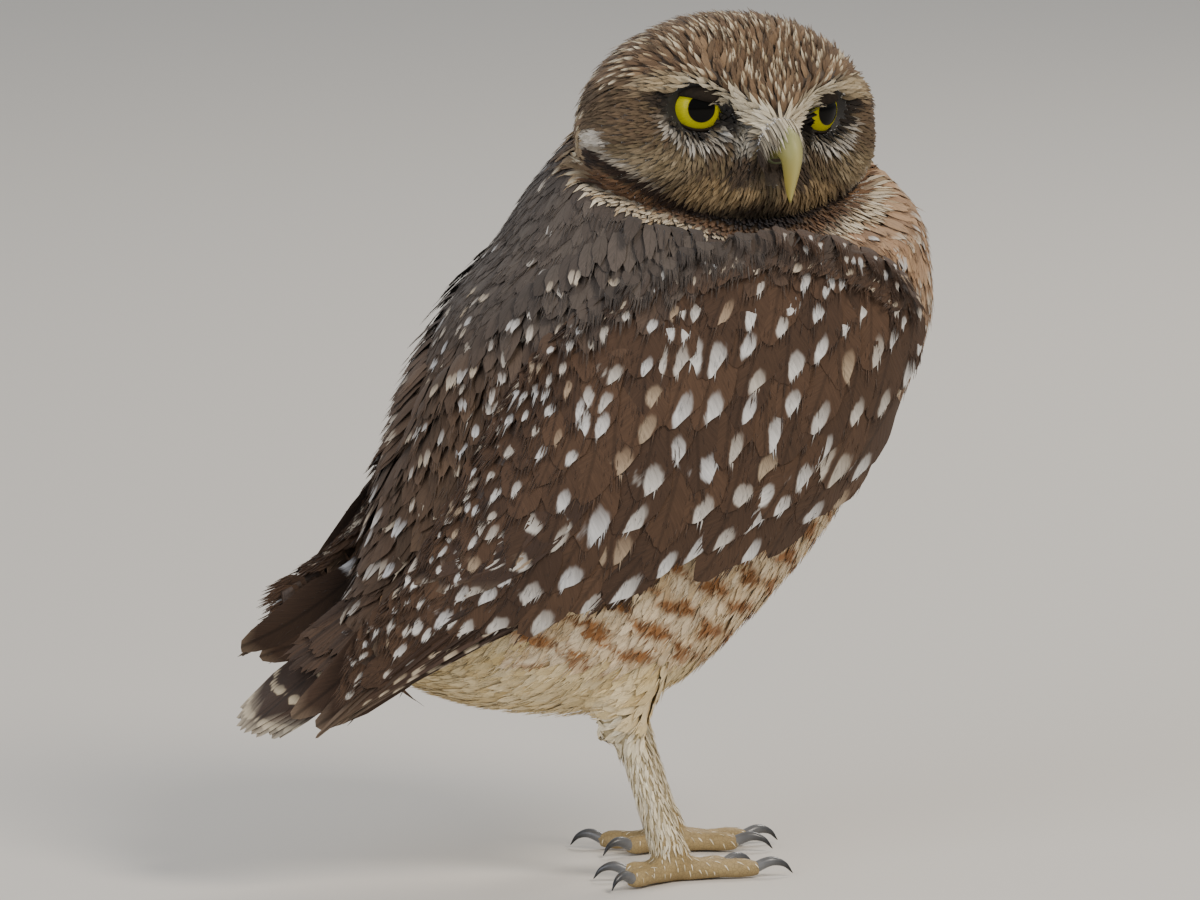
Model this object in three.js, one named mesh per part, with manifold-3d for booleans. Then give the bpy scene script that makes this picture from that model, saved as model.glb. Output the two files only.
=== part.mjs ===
// A burrowing owl at life size, standing at rest with its head turned over its right wing.
// Millimetres, +Z up. +X is the way the body faces, +Y is its left side. The origin is under
// the middle of the bird's bounding box, on the floor.
import * as THREE from "three";
import Module from "manifold-3d";

const wasm = await Module();
wasm.setup();

// Clearances
const GAP = 0.3;
const RIGHT = -1;
const LEFT = 1;
const SIDES = [
  ["right", RIGHT],
  ["left", LEFT],
];

// Torso: the back line, the breast and belly line, and the half width, from the shoulders to
// the vent. Each station is one slice across the body.
const TORSO = [
  { back: [-13.5, 171], belly: [46, 171], half: 23 },
  { back: [-22, 161], belly: [54.5, 161], half: 27.5 },
  { back: [-29.5, 152], belly: [57.5, 151.5], half: 32.5 },
  { back: [-37, 141], belly: [62.5, 140], half: 36 },
  { back: [-48, 127], belly: [63.5, 122.5], half: 38.5 },
  { back: [-55, 112], belly: [56.5, 104.5], half: 39.5 },
  { back: [-60, 97], belly: [45.5, 86.5], half: 39 },
  { back: [-63, 85], belly: [33, 70], half: 37 },
  { back: [-65, 76.5], belly: [18.5, 54.5], half: 33 },
  { back: [-67, 70], belly: [3, 42], half: 28 },
  { back: [-69, 64.5], belly: [-17, 36.5], half: 22.5 },
  { back: [-71, 60.5], belly: [-38, 38], half: 16.5 },
  { back: [-72, 58], belly: [-55, 43.5], half: 10.5 },
];
const TORSO_ROUNDNESS = 2.25;
const TORSO_RINGS = 17;
const TORSO_SIDES = 26;
// The neck is the top of the same form: planes given by a normal and a point they pass through.
const NECK_FLOOR = { normal: [0, -0.25, 1], through: [14, -5, 139.5] };
const NECK_CEILING = { normal: [0.12, -0.5, 1], through: [14, -5, 153.5] };

// Head: where its middle is, how far it is turned and tipped, and its half sizes.
const HEAD = { x: 14.4, y: -5, z: 163.5, turn: -77, lean: -4.8 };
const HEAD_HALF_WIDTH = 38;
const HEAD_CROWN = 28.5;
const HEAD_CHIN = 20.5;
// How far in front of the middle each ring of the head lies, and its share of the full girth.
const HEAD_RINGS = [
  { ahead: 19.4, girth: 0.07 },
  { ahead: 19.2, girth: 0.18 },
  { ahead: 18.7, girth: 0.3 },
  { ahead: 17.9, girth: 0.42 },
  { ahead: 16.8, girth: 0.54 },
  { ahead: 15.2, girth: 0.67 },
  { ahead: 13, girth: 0.8 },
  { ahead: 10, girth: 0.915 },
  { ahead: 5.5, girth: 0.99 },
  { ahead: 0, girth: 1 },
  { ahead: -7, girth: 0.95 },
  { ahead: -14, girth: 0.85 },
  { ahead: -20.5, girth: 0.68 },
  { ahead: -25.5, girth: 0.46 },
  { ahead: -28.2, girth: 0.2 },
];
const HEAD_SIDES = 36;
const HEAD_SQUARENESS = 2.05;

// Eyes: the ball with its window, and the front of the window, out to each side and above.
const EYE_SPREAD = 16.9;
const EYE_RISE = 7.4;
const EYE_FRONT = 15.3;
const EYE_TURN_OUT = 17;
const EYE_BALL = 8.1;
const CORNEA_BULGE = 1.1;
const CORNEA_HALF_ANGLE = 48;
const LID_THICK = 0.9;

// Bill: the line of its ridge from under the bridge to the tip, and the lower half's.
const BILL_RIDGE = [
  { ahead: 15, rise: 6.5 },
  { ahead: 25, rise: 4.6 },
  { ahead: 29.3, rise: -1.4 },
  { ahead: 27.6, rise: -11.8 },
];
const BILL_HALF_WIDTH = 4.4;
const BILL_DEPTH = 9;
const LOWER_BILL_RIDGE = [
  { ahead: 14, rise: -8.4 },
  { ahead: 19, rise: -9.3 },
  { ahead: 23.8, rise: -8.9 },
];
const LOWER_BILL_DEPTH = 3.2;
const NOSTRIL_RADIUS = 0.75;

// Legs and feet. Each ankle is where the shank meets the toes.
const ANKLE = { right: [-3.2, -19], left: [9.6, 19] };
const ANKLE_HEIGHT = 7.5;
const HOCK_BACK = 14;
const HOCK_HEIGHT = 46;
const SHANK_TOP_RADIUS = 5;
const SHANK_RADIUS = 3.7;
const THIGH_HALF = { x: 12.5, y: 9.5 };
const THIGH_TOP = 62;
const THIGH_BOTTOM = 30.5;
const TOE_RADIUS = 2.9;
const TOE_TIP_RADIUS = 2.1;
const CLAW_RADIUS = 1.25;
// Each toe: its bearing from straight ahead towards the outer side, and its length with claw.
const TOES = [
  { name: "inner", bearing: -20, toe: 15.5, claw: 8 },
  { name: "middle", bearing: 6, toe: 19.5, claw: 8 },
  { name: "outer", bearing: 147, toe: 15.2, claw: 7 },
  { name: "hind", bearing: -165, toe: 10.5, claw: 7 },
];

// Wing: its lower and upper edge as seen from the side, from the bend to the tip.
const WING = [
  { lower: [49, 123], upper: [49, 132] },
  { lower: [45.5, 109], upper: [37, 142] },
  { lower: [37.5, 94], upper: [14, 147] },
  { lower: [25, 82], upper: [-12, 141] },
  { lower: [5, 74], upper: [-32, 127] },
  { lower: [-20, 67], upper: [-46, 108] },
  { lower: [-44, 59], upper: [-56, 87] },
  { lower: [-63, 50], upper: [-67, 69.5] },
  { lower: [-79, 40], upper: [-81, 52.5] },
  { lower: [-89, 31.5], upper: [-91.5, 39] },
];
const WING_STEPS = 14;
const WING_BANDS = 6;
const WING_THICK = 2.1;
const WING_EDGE = 1;
const WING_RISE = 0.75;
// Past the body the wing lies this far from the middle: pairs of x and y.
const WING_FREE = [
  [-95, 17.4],
  [-60, 20],
  [-20, 20],
  [20, 16],
  [50, 8],
];
const WING_BLEND = 7;
// The left wing's tip is carried higher than the right one's.
const TIP_SHIFT = { right: [0, 0], left: [-3, 12] };
const TIP_SHIFT_SPAN = [55, 90];

// Rows of wing feathers, lowest first: the root and tip of a row's first and last feather, how far
// they bow, their half widths, and their heights over the sheet at root and tip.
const WING_ROWS = [
  {
    count: 5,
    roots: [[31, 88.5], [-8, 84]],
    tips: [[-72, 44.5], [-91, 35]],
    bow: [-7.5, -5],
    half: [4, 5.2],
    heights: [1.2, 2],
    steps: 5,
    pointed: true,
  },
  {
    count: 4,
    roots: [[20, 94], [-22, 104]],
    tips: [[-34, 63.5], [-75, 53.5]],
    bow: [-6, -2],
    half: [7.2, 7.8],
    heights: [1.3, 2.9],
    steps: 4,
  },
  {
    count: 2,
    roots: [[-24, 108], [-37, 106]],
    tips: [[-63, 63], [-67, 68]],
    bow: [1, 3],
    half: [7.2, 6.6],
    heights: [1.3, 3.6],
    steps: 4,
  },
  {
    count: 6,
    roots: [[40, 109], [-20, 124]],
    tips: [[20, 82.5], [-52, 90]],
    bow: [-1.5, -1],
    half: [5.8, 7.8],
    heights: [1.3, 3.8],
    steps: 3,
  },
  {
    count: 5,
    roots: [[41, 122], [-14, 137]],
    tips: [[28, 98], [-40, 109]],
    bow: [0, 0],
    half: [6, 7.8],
    heights: [1.3, 4.5],
    steps: 3,
  },
  {
    count: 3,
    roots: [[6, 142], [-24, 130]],
    tips: [[-18, 116], [-51, 97]],
    bow: [2, 2],
    half: [7.4, 7.2],
    heights: [1.3, 5.1],
    steps: 3,
  },
];
const ROW_ROLL = 0.17;
const ROW_WAVER = 1.2;
const VANE_THICK = 0.85;
const VANE_TIP_THICK = 0.55;

// Tail: where it leaves the rump, how far it slopes down, and how its left side is raised.
const TAIL_ROOT = { x: -62, z: 64.5 };
const TAIL_SLOPE = 37;
const TAIL_ROLL = 12;
const TAIL_FEATHERS = 9;
const TAIL_LENGTH = 46.5;
const TAIL_FAN = 9.5;
const TAIL_HALF_VANE = 5.6;
// Each section of the tail's root: how far along, its half width, and its half thickness.
const TAIL_SECTIONS = [
  [-12, 9, 6],
  [-6, 10, 6],
  [2, 10.5, 4.8],
  [9, 10, 3],
  [14, 8.5, 1.4],
];
// Short feathers over and under the tail: how many, how long, and how high at root and tip.
const TAIL_COVERTS = [
  { count: 5, length: 26, heights: [1.6, 1.8] },
  { count: 4, length: 27, heights: [-6.5, -4.6] },
];

// The body's own shape

const point = (x, y, z) => new THREE.Vector3(x, y, z);
const lerp = THREE.MathUtils.lerp;
const rad = THREE.MathUtils.degToRad;
const smooth = THREE.MathUtils.smoothstep;

function curveThrough(stations, key) {
  return new THREE.CatmullRomCurve3(
    stations.map((s) => point(s[key][0], 0, s[key][1])),
    false,
    "catmullrom",
    0.5,
  );
}

const backLine = curveThrough(TORSO, "back");
const bellyLine = curveThrough(TORSO, "belly");
const halfLine = new THREE.CatmullRomCurve3(TORSO.map((s) => point(s.half, 0, 0)));

function torsoSlice(along) {
  const back = backLine.getPoint(along);
  const belly = bellyLine.getPoint(along);
  const middle = back.clone().add(belly).multiplyScalar(0.5);
  const spread = back.clone().sub(belly).multiplyScalar(0.5);
  return { middle, length: spread.length(), dir: spread.normalize(), half: halfLine.getPoint(along).x };
}

// A cosine or sine drawn towards a square, so that a section is fuller than an ellipse.
const fuller = (value, power) => Math.sign(value) * Math.abs(value) ** (2 / power);

function torsoPoint(along, angle, out = 0) {
  const slice = torsoSlice(along);
  const up = (slice.length + out) * fuller(Math.cos(angle), TORSO_ROUNDNESS);
  const across = (slice.half + out) * fuller(Math.sin(angle), TORSO_ROUNDNESS);
  return slice.middle.clone().addScaledVector(slice.dir, up).add(point(0, -across, 0));
}

// Half the torso's width over a point of its side view, or 0 outside its outline.
const SIDE_SEARCH = 60;
const sideSlices = Array.from({ length: SIDE_SEARCH + 1 }, (_, i) => torsoSlice(i / SIDE_SEARCH));

function torsoHalf(x, z) {
  const sideOf = (s) => (x - s.middle.x) * s.dir.z - (z - s.middle.z) * s.dir.x;
  for (let i = 0; i < SIDE_SEARCH; i++) {
    const [a, b] = [sideSlices[i], sideSlices[i + 1]];
    const [da, db] = [sideOf(a), sideOf(b)];
    if (da * db > 0) continue;
    const share = da / (da - db || 1);
    const middle = a.middle.clone().lerp(b.middle, share);
    const dir = a.dir.clone().lerp(b.dir, share);
    const reach = ((x - middle.x) * dir.x + (z - middle.z) * dir.z) / lerp(a.length, b.length, share);
    if (Math.abs(reach) >= 1) continue;
    const width = (1 - Math.abs(reach) ** TORSO_ROUNDNESS) ** (1 / TORSO_ROUNDNESS);
    return lerp(a.half, b.half, share) * width;
  }
  return 0;
}

// Closed solids from rings of points

function solidFrom(points, index) {
  const geometry = new THREE.BufferGeometry().setFromPoints(points);
  geometry.setIndex(index);
  return manifoldOf(geometry);
}

function manifoldOf(geometry) {
  const build = (triVerts) =>
    new wasm.Manifold(
      new wasm.Mesh({
        numProp: 3,
        vertProperties: new Float32Array(geometry.getAttribute("position").array),
        triVerts,
      }),
    );
  const faces = Uint32Array.from(geometry.index.array);
  const made = build(faces);
  if (made.volume() > 0) return made;
  for (let i = 0; i < faces.length; i += 3) [faces[i + 1], faces[i + 2]] = [faces[i + 2], faces[i + 1]];
  return build(faces);
}

function ringSolid(rings) {
  const count = rings[0].length;
  const points = rings.flat();
  const index = [];
  for (let r = 0; r + 1 < rings.length; r++)
    for (let k = 0; k < count; k++) {
      const a = r * count + k;
      const b = r * count + ((k + 1) % count);
      index.push(a, b, b + count, a, b + count, a + count);
    }
  const last = (rings.length - 1) * count;
  const caps = [rings[0], rings[rings.length - 1]].map((ring) => {
    const middle = ring.reduce((sum, p) => sum.add(p), point(0, 0, 0)).divideScalar(count);
    return points.push(middle) - 1;
  });
  for (let k = 0; k < count; k++) {
    const next = (k + 1) % count;
    index.push(caps[0], next, k);
    index.push(caps[1], last + k, last + next);
  }
  return solidFrom(points, index);
}

function circle(count, place) {
  return Array.from({ length: count }, (_, k) => place((k / count) * Math.PI * 2));
}

// A tube of round sections along a curve, with a radius for each share of its length.
function tube(curve, steps, sides, radius, flatten = 1) {
  const rings = [];
  for (let i = 0; i <= steps; i++) {
    const t = i / steps;
    const middle = curve.getPoint(t);
    const along = curve.getTangent(t);
    const across = point(0, 0, 1).cross(along);
    if (across.length() < 0.05) across.set(0, 1, 0);
    across.normalize();
    const up = along.clone().cross(across).normalize();
    rings.push(
      circle(sides, (a) =>
        middle
          .clone()
          .addScaledVector(across, Math.cos(a) * radius(t))
          .addScaledVector(up, Math.sin(a) * radius(t) * flatten),
      ),
    );
  }
  return ringSolid(rings);
}

const join = (pieces) => wasm.Manifold.union(pieces);
const cutBy = (solid, ...tools) => tools.reduce((rest, tool) => rest.subtract(tool), solid);

function largest(solid) {
  return solid.decompose().reduce((best, piece) => (piece.volume() > best.volume() ? piece : best));
}

function mirrored(solid) {
  return solid.mirror([0, 1, 0]);
}

const torsoSolid = (out) =>
  ringSolid(
    Array.from({ length: TORSO_RINGS + 1 }, (_, i) =>
      circle(TORSO_SIDES, (a) => torsoPoint(i / TORSO_RINGS, a, out)),
    ),
  );

// Head. Places on it are given as ahead, left and up from its middle, in millimetres.

const headTurn = new THREE.Matrix4()
  .makeTranslation(HEAD.x, HEAD.y, HEAD.z)
  .multiply(new THREE.Matrix4().makeRotationZ(rad(HEAD.turn)))
  .multiply(new THREE.Matrix4().makeRotationX(rad(HEAD.lean)));
const onHead = (ahead, left, up) => point(ahead, left, up).applyMatrix4(headTurn);

// Swellings and hollows of the face: where, how wide, and how far out.
const FACE_FORMS = [
  { left: 0, up: 3, wide: 6, tall: 9, out: 5.6 },
  { left: 6.5, up: 10.5, wide: 6, tall: 3.4, out: 3 },
  { left: 16.5, up: 15, wide: 9, tall: 3.2, out: 3.2 },
  { left: 16.8, up: 6.5, wide: 9, tall: 7, out: -6 },
  { left: 4, up: -12.5, wide: 9, tall: 4.5, out: 4.4 },
  { left: 22, up: -6, wide: 11, tall: 7, out: 1.4 },
];

function faceForm(left, up) {
  return FACE_FORMS.reduce((sum, form) => {
    const across = (Math.abs(left) - form.left) / form.wide;
    const high = (up - form.up) / form.tall;
    return sum + form.out * Math.exp(-(across * across + high * high));
  }, 0);
}

function headPoint(ring, angle, out = 0) {
  const side = fuller(Math.cos(angle), HEAD_SQUARENESS);
  const high = fuller(Math.sin(angle), HEAD_SQUARENESS);
  const left = ring.girth * HEAD_HALF_WIDTH * side;
  const up = ring.girth * (high > 0 ? HEAD_CROWN : HEAD_CHIN) * high;
  const ahead = ring.ahead + (ring.ahead > 0 ? faceForm(left, up) : 0);
  const grow = 1 + out / HEAD_CROWN;
  return onHead(ahead * grow, left * grow, up * grow);
}

const headSolid = (out, sides = HEAD_SIDES) =>
  ringSolid(HEAD_RINGS.map((ring) => circle(sides, (a) => headPoint(ring, a, out))));

const eyeReach = EYE_BALL + CORNEA_BULGE;
const eyeMatrix = (side) =>
  headTurn
    .clone()
    .multiply(new THREE.Matrix4().makeTranslation(EYE_FRONT, side * EYE_SPREAD, EYE_RISE))
    .multiply(new THREE.Matrix4().makeRotationZ(rad(side * EYE_TURN_OUT)))
    .multiply(new THREE.Matrix4().makeTranslation(-eyeReach, 0, 0));

// The eyeball turned on a lathe about its own axis, which LatheGeometry takes as +Y.
function eyeSolid(side, out = 0) {
  const profile = [];
  const steps = 12;
  for (let i = 0; i <= steps; i++) {
    const angle = -90 + (180 * i) / steps;
    const fromFront = 90 - angle;
    const bulge = CORNEA_BULGE * (1 - smooth(fromFront, CORNEA_HALF_ANGLE * 0.35, CORNEA_HALF_ANGLE));
    const r = EYE_BALL + bulge + out;
    profile.push(new THREE.Vector2(i % steps ? r * Math.cos(rad(angle)) : 0, r * Math.sin(rad(angle))));
  }
  const geometry = closedLathe(profile, 16);
  geometry.applyMatrix4(new THREE.Matrix4().makeRotationZ(-Math.PI / 2));
  geometry.applyMatrix4(eyeMatrix(side));
  return manifoldOf(geometry);
}

function closedLathe(profile, sides) {
  const inner = profile.slice(1, -1);
  const rings = inner.map((p) => circle(sides, (a) => point(p.x * Math.cos(a), p.y, p.x * Math.sin(a))));
  const points = rings.flat();
  const ends = [profile[0], profile[profile.length - 1]];
  const [bottom, top] = ends.map((p) => points.push(point(0, p.y, 0)) - 1);
  const index = [];
  rings.slice(1).forEach((_, r) => {
    for (let k = 0; k < sides; k++) {
      const a = r * sides + k;
      const b = r * sides + ((k + 1) % sides);
      index.push(a, a + sides, b, b, a + sides, b + sides);
    }
  });
  const last = (rings.length - 1) * sides;
  for (let k = 0; k < sides; k++) {
    const next = (k + 1) % sides;
    index.push(bottom, k, next);
    index.push(top, last + next, last + k);
  }
  const geometry = new THREE.BufferGeometry().setFromPoints(points);
  geometry.setIndex(index);
  return geometry;
}

// The lids are one ring of skin over the ball, open in an almond that the upper lid flattens.
const LID_OPEN_SIDE = 42;
const LID_OPEN_UP = 20;
const LID_OPEN_DOWN = 31;
const LID_OUTER = 74;
const LID_STEPS = 20;

function lidSolid(side) {
  const matrix = eyeMatrix(side);
  const place = (angle, from, r) =>
    point(
      r * Math.cos(rad(from)),
      r * Math.sin(rad(from)) * Math.cos(angle),
      r * Math.sin(rad(from)) * Math.sin(angle),
    ).applyMatrix4(matrix);
  const inner = EYE_BALL + CORNEA_BULGE + GAP;
  const rings = Array.from({ length: LID_STEPS }, (_, k) => {
    const angle = (k / LID_STEPS) * Math.PI * 2;
    const tall = Math.sin(angle) > 0 ? LID_OPEN_UP : LID_OPEN_DOWN;
    const open = 1 / Math.hypot(Math.cos(angle) / LID_OPEN_SIDE, Math.sin(angle) / tall);
    return [
      place(angle, open, inner),
      place(angle, open, inner + LID_THICK * 0.7),
      place(angle, lerp(open, LID_OUTER, 0.4), inner + LID_THICK),
      place(angle, LID_OUTER, inner + LID_THICK),
      place(angle, LID_OUTER, inner - 1.2),
      place(angle, lerp(open, LID_OUTER, 0.4), inner),
    ];
  });
  return torusSolid(rings);
}

function torusSolid(rings) {
  const count = rings[0].length;
  const index = [];
  rings.forEach((_, r) => {
    const next = (r + 1) % rings.length;
    for (let k = 0; k < count; k++) {
      const other = (k + 1) % count;
      const [a, b, c, d] = [r * count + k, r * count + other, next * count + k, next * count + other];
      index.push(a, b, d, a, d, c);
    }
  });
  return solidFrom(rings.flat(), index);
}

// Bill: the upper half is one hooked horn, narrow across and deep at its root.
function billCurve(points) {
  return new THREE.CatmullRomCurve3(points.map((p) => point(p.ahead, 0, p.rise)));
}

function hornSolid(curve, steps, halfWidth, depth, down) {
  const rings = [];
  for (let i = 0; i <= steps; i++) {
    const t = i / steps;
    const ridge = curve.getPoint(t);
    const along = curve.getTangent(t);
    const inward = point(along.z, 0, -along.x).multiplyScalar(down);
    const taper = (1 - t) ** 0.62;
    const w = Math.max(halfWidth * taper, 0.3);
    const d = Math.max(depth * taper, 0.6);
    const section = [
      [0, 0],
      [0.45, 0.1],
      [0.82, 0.38],
      [1, 0.72],
      [0.9, 1],
      [-0.9, 1],
      [-1, 0.72],
      [-0.82, 0.38],
      [-0.45, 0.1],
    ];
    rings.push(
      section.map(([across, deep]) => {
        const p = ridge.clone().addScaledVector(inward, d * deep);
        return onHead(p.x, across * w, p.z);
      }),
    );
  }
  return ringSolid(rings);
}

function nostrilSolid(side) {
  const start = onHead(26.5, side * 5, 1.2);
  const end = onHead(24, side * 1.6, 0.4);
  return tube(new THREE.LineCurve3(start, end), 1, 8, () => NOSTRIL_RADIUS);
}

const upperBill = hornSolid(billCurve(BILL_RIDGE), 12, BILL_HALF_WIDTH, BILL_DEPTH, 1);
const lowerBill = hornSolid(billCurve(LOWER_BILL_RIDGE), 6, BILL_HALF_WIDTH * 0.6, LOWER_BILL_DEPTH, -1);

// Vanes: one feather is a thin leaf that rises from the sheet it lies on.

function leafWidth(t, pointed) {
  const open = lerp(0.5, 1, smooth(t, 0, 0.35));
  const close = t < 0.5 ? 1 : Math.sqrt(Math.max(0, 1 - ((t - 0.5) / 0.5) ** (pointed ? 1.9 : 3.2)));
  return open * Math.max(close, 0.2);
}

// place(t, across) gives a point and a normal of the sheet. Both faces are split alike.
function vaneSolid({ place, halfWidth, heights, steps, roll, pointed }) {
  const rings = [];
  for (let i = 0; i <= steps; i++) {
    const t = (i / steps) ** 0.85;
    const w = halfWidth * leafWidth(t, pointed);
    const height = lerp(heights[0], heights[1], t ** 0.8);
    const thick = lerp(VANE_THICK, VANE_TIP_THICK, t);
    const row = [-1, 1].map((across) => {
      const { at, out } = place(t, across * w);
      return at.clone().addScaledVector(out, height + roll * across * w);
    });
    const normal = place(t, 0).out;
    rings.push([...row.map((p) => p.clone().addScaledVector(normal, thick)), ...row.reverse()]);
  }
  return vaneShell(rings);
}

// Four points a ring: left and right on top, then right and left below.
function vaneShell(rings) {
  const index = [];
  const count = 4;
  const quad = (a, b, c, d, turned) => (turned ? index.push(a, b, c, b, d, c) : index.push(a, b, d, a, d, c));
  for (let r = 0; r + 1 < rings.length; r++)
    for (let k = 0; k < count; k++) {
      const next = (k + 1) % count;
      quad(r * count + k, r * count + next, (r + 1) * count + k, (r + 1) * count + next, k < 1);
    }
  const last = (rings.length - 1) * count;
  index.push(0, 3, 1, 1, 3, 2);
  index.push(last, last + 1, last + 3, last + 1, last + 2, last + 3);
  return solidFrom(rings.flat(), index);
}

// Seeded so that every build comes out the same.
function randomFrom(seed) {
  let state = seed;
  return () => {
    state = (state * 1664525 + 1013904223) % 4294967296;
    return state / 4294967296;
  };
}

// Wing: a sheet over the flank, seen from the side as x and z, with y worked out from the torso.

function freeSide(x) {
  const next = WING_FREE.findIndex(([at]) => at > x);
  if (next < 0) return WING_FREE[WING_FREE.length - 1][1];
  if (next === 0) return WING_FREE[0][1];
  const [[x0, y0], [x1, y1]] = [WING_FREE[next - 1], WING_FREE[next]];
  return lerp(y0, y1, (x - x0) / (x1 - x0));
}

function sheetSide(x, z) {
  const free = freeSide(x);
  const body = torsoHalf(x, z);
  return (body + free + Math.hypot(body - free, WING_BLEND)) / 2;
}

// A point of the right wing's sheet and its outward normal.
const SHEET_STEP = 1.5;
function onSheet(x, z) {
  const h = SHEET_STEP;
  const slopeX = (sheetSide(x + h, z) - sheetSide(x - h, z)) / (2 * h);
  const slopeZ = (sheetSide(x, z + h) - sheetSide(x, z - h)) / (2 * h);
  return { at: point(x, -sheetSide(x, z), z), out: point(-slopeX, -1, -slopeZ).normalize() };
}

function tipShifted(name, [x, z]) {
  const share = smooth(-x, ...TIP_SHIFT_SPAN);
  return [x + TIP_SHIFT[name][0] * share, z + TIP_SHIFT[name][1] * share];
}

function wingCore(name) {
  const edges = ["lower", "upper"].map((key) =>
    curveThrough(
      WING.map((station) => ({ edge: tipShifted(name, station[key]) })),
      "edge",
    ),
  );
  const rings = [];
  for (let i = 0; i <= WING_STEPS; i++) {
    const [lower, upper] = edges.map((edge) => edge.getPoint(i / WING_STEPS));
    const rows = Array.from({ length: WING_BANDS + 1 }, (_, k) => {
      const share = k / WING_BANDS;
      const { at, out } = onSheet(lerp(lower.x, upper.x, share), lerp(lower.z, upper.z, share));
      const thick = WING_EDGE + (WING_THICK - WING_EDGE) * Math.sqrt(Math.sin(Math.PI * share));
      const outer = at.clone().addScaledVector(out, WING_RISE + thick);
      return { outer, inner: at.clone().addScaledVector(out, WING_RISE) };
    });
    rings.push([...rows.map((r) => r.outer), ...rows.map((r) => r.inner).reverse()]);
  }
  return ringSolid(rings);
}

// A feather from root to tip in the side view, bowed sideways, laid on the wing's sheet.
function wingVane(name, { root, tip, bow, ...shape }) {
  const from = new THREE.Vector2(...tipShifted(name, root));
  const along = new THREE.Vector2(...tipShifted(name, tip)).sub(from);
  const across = new THREE.Vector2(-along.y, along.x).normalize();
  const place = (t, offset) => {
    const aside = bow * Math.sin(Math.PI * t) + offset;
    return onSheet(from.x + along.x * t + across.x * aside, from.y + along.y * t + across.y * aside);
  };
  return vaneSolid({ place, roll: ROW_ROLL, ...shape });
}

function wingSolid(name, seed) {
  const random = randomFrom(seed);
  const waver = () => (random() - 0.5) * ROW_WAVER;
  const vanes = WING_ROWS.flatMap((row) =>
    Array.from({ length: row.count }, (_, i) => {
      const t = i / (row.count - 1);
      const between = ([a, b]) => [lerp(a[0], b[0], t) + waver(), lerp(a[1], b[1], t) + waver()];
      return wingVane(name, {
        root: between(row.roots),
        tip: between(row.tips),
        bow: lerp(...row.bow, t),
        halfWidth: lerp(...row.half, t),
        heights: row.heights,
        steps: row.steps,
        pointed: row.pointed,
      });
    }),
  );
  return join([wingCore(name), ...vanes]);
}

// Tail: a fan of long vanes under and over rows of short ones, on a flat root that meets the rump.

const tailAlong = point(-Math.cos(rad(TAIL_SLOPE)), 0, -Math.sin(rad(TAIL_SLOPE)));
const tailUp = point(-Math.sin(rad(TAIL_SLOPE)), 0, Math.cos(rad(TAIL_SLOPE)));
const tailLeft = point(0, 1, 0);
for (const dir of [tailUp, tailLeft]) dir.applyAxisAngle(tailAlong, rad(-TAIL_ROLL));

// A place in the tail: along it, to the bird's left, and above it.
function onTail(along, left, up) {
  return point(TAIL_ROOT.x, 0, TAIL_ROOT.z)
    .addScaledVector(tailAlong, along)
    .addScaledVector(tailLeft, left)
    .addScaledVector(tailUp, up);
}

function tailVane({ bearing, start, length, heights, ...shape }) {
  const place = (t, offset) => {
    const reach = start + (length - start) * t;
    const left = 20 * Math.sin(rad(bearing)) + reach * Math.sin(rad(bearing)) + offset;
    return { at: onTail(reach * Math.cos(rad(bearing)), left, 0), out: tailUp };
  };
  return vaneSolid({ place, heights, ...shape });
}

function tailSolid() {
  const random = randomFrom(7);
  const vanes = [];
  for (let i = 0; i < TAIL_FEATHERS; i++) {
    const share = (i / (TAIL_FEATHERS - 1)) * 2 - 1;
    const outer = Math.abs(share);
    vanes.push(
      tailVane({
        bearing: share * TAIL_FAN,
        start: 2,
        length: TAIL_LENGTH - 3.5 * outer * outer - random(),
        halfWidth: TAIL_HALF_VANE,
        heights: [-2.6, -2.2 - 1.6 * outer],
        steps: 4,
        roll: -ROW_ROLL * Math.sign(share),
      }),
    );
  }
  for (const { count, length, heights } of TAIL_COVERTS)
    for (let i = 0; i < count; i++) {
      const share = (i / (count - 1)) * 2 - 1;
      const reach = length - 5 * share * share + random() * 2;
      const bearing = share * TAIL_FAN * 1.1;
      vanes.push(
        tailVane({ bearing, start: 0, length: reach, halfWidth: 5.4, heights, steps: 3, roll: 0 }),
      );
    }
  const root = TAIL_SECTIONS.map(([along, half, tall]) =>
    circle(16, (a) => onTail(along, half * Math.cos(a), tall * Math.sin(a) - 2)),
  );
  return join([ringSolid(root), ...vanes]);
}

// Legs

function shankSolid(name, out = 0) {
  const [x, y] = ANKLE[name];
  const line = new THREE.CatmullRomCurve3([
    point(x - HOCK_BACK, y * 0.86, HOCK_HEIGHT + out),
    point(x - HOCK_BACK * 0.55, y * 0.93, HOCK_HEIGHT * 0.6),
    point(x - 0.6, y, ANKLE_HEIGHT - 2.2),
  ]);
  const radius = (t) => lerp(SHANK_TOP_RADIUS, SHANK_RADIUS, smooth(t, 0, 0.6)) + 0.5 * smooth(t, 0.8, 1);
  return tube(line, 6, 12, (t) => radius(t) + out);
}

function thighSolid(name, out = 0) {
  const [x, y] = ANKLE[name];
  const rings = [];
  const steps = 6;
  for (let i = 0; i <= steps; i++) {
    const t = i / steps;
    const girth = Math.sin(Math.PI * lerp(0.42, 0.08, t)) ** 0.8;
    const middle = point(x - HOCK_BACK * lerp(0.45, 0.86, t), y * 0.84, lerp(THIGH_TOP, THIGH_BOTTOM, t));
    const [halfX, halfY] = [THIGH_HALF.x * girth + out, THIGH_HALF.y * girth + out];
    rings.push(circle(14, (a) => middle.clone().add(point(halfX * Math.cos(a), halfY * Math.sin(a), 0))));
  }
  return ringSolid(rings);
}

function toeLine(name, toe) {
  const [x, y] = ANKLE[name];
  const outward = name === "right" ? -1 : 1;
  const dir = point(Math.cos(rad(toe.bearing)), outward * Math.sin(rad(toe.bearing)), 0);
  const at = (reach, up) => point(x, y, up).addScaledVector(dir, reach);
  return { at, dir };
}

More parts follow.
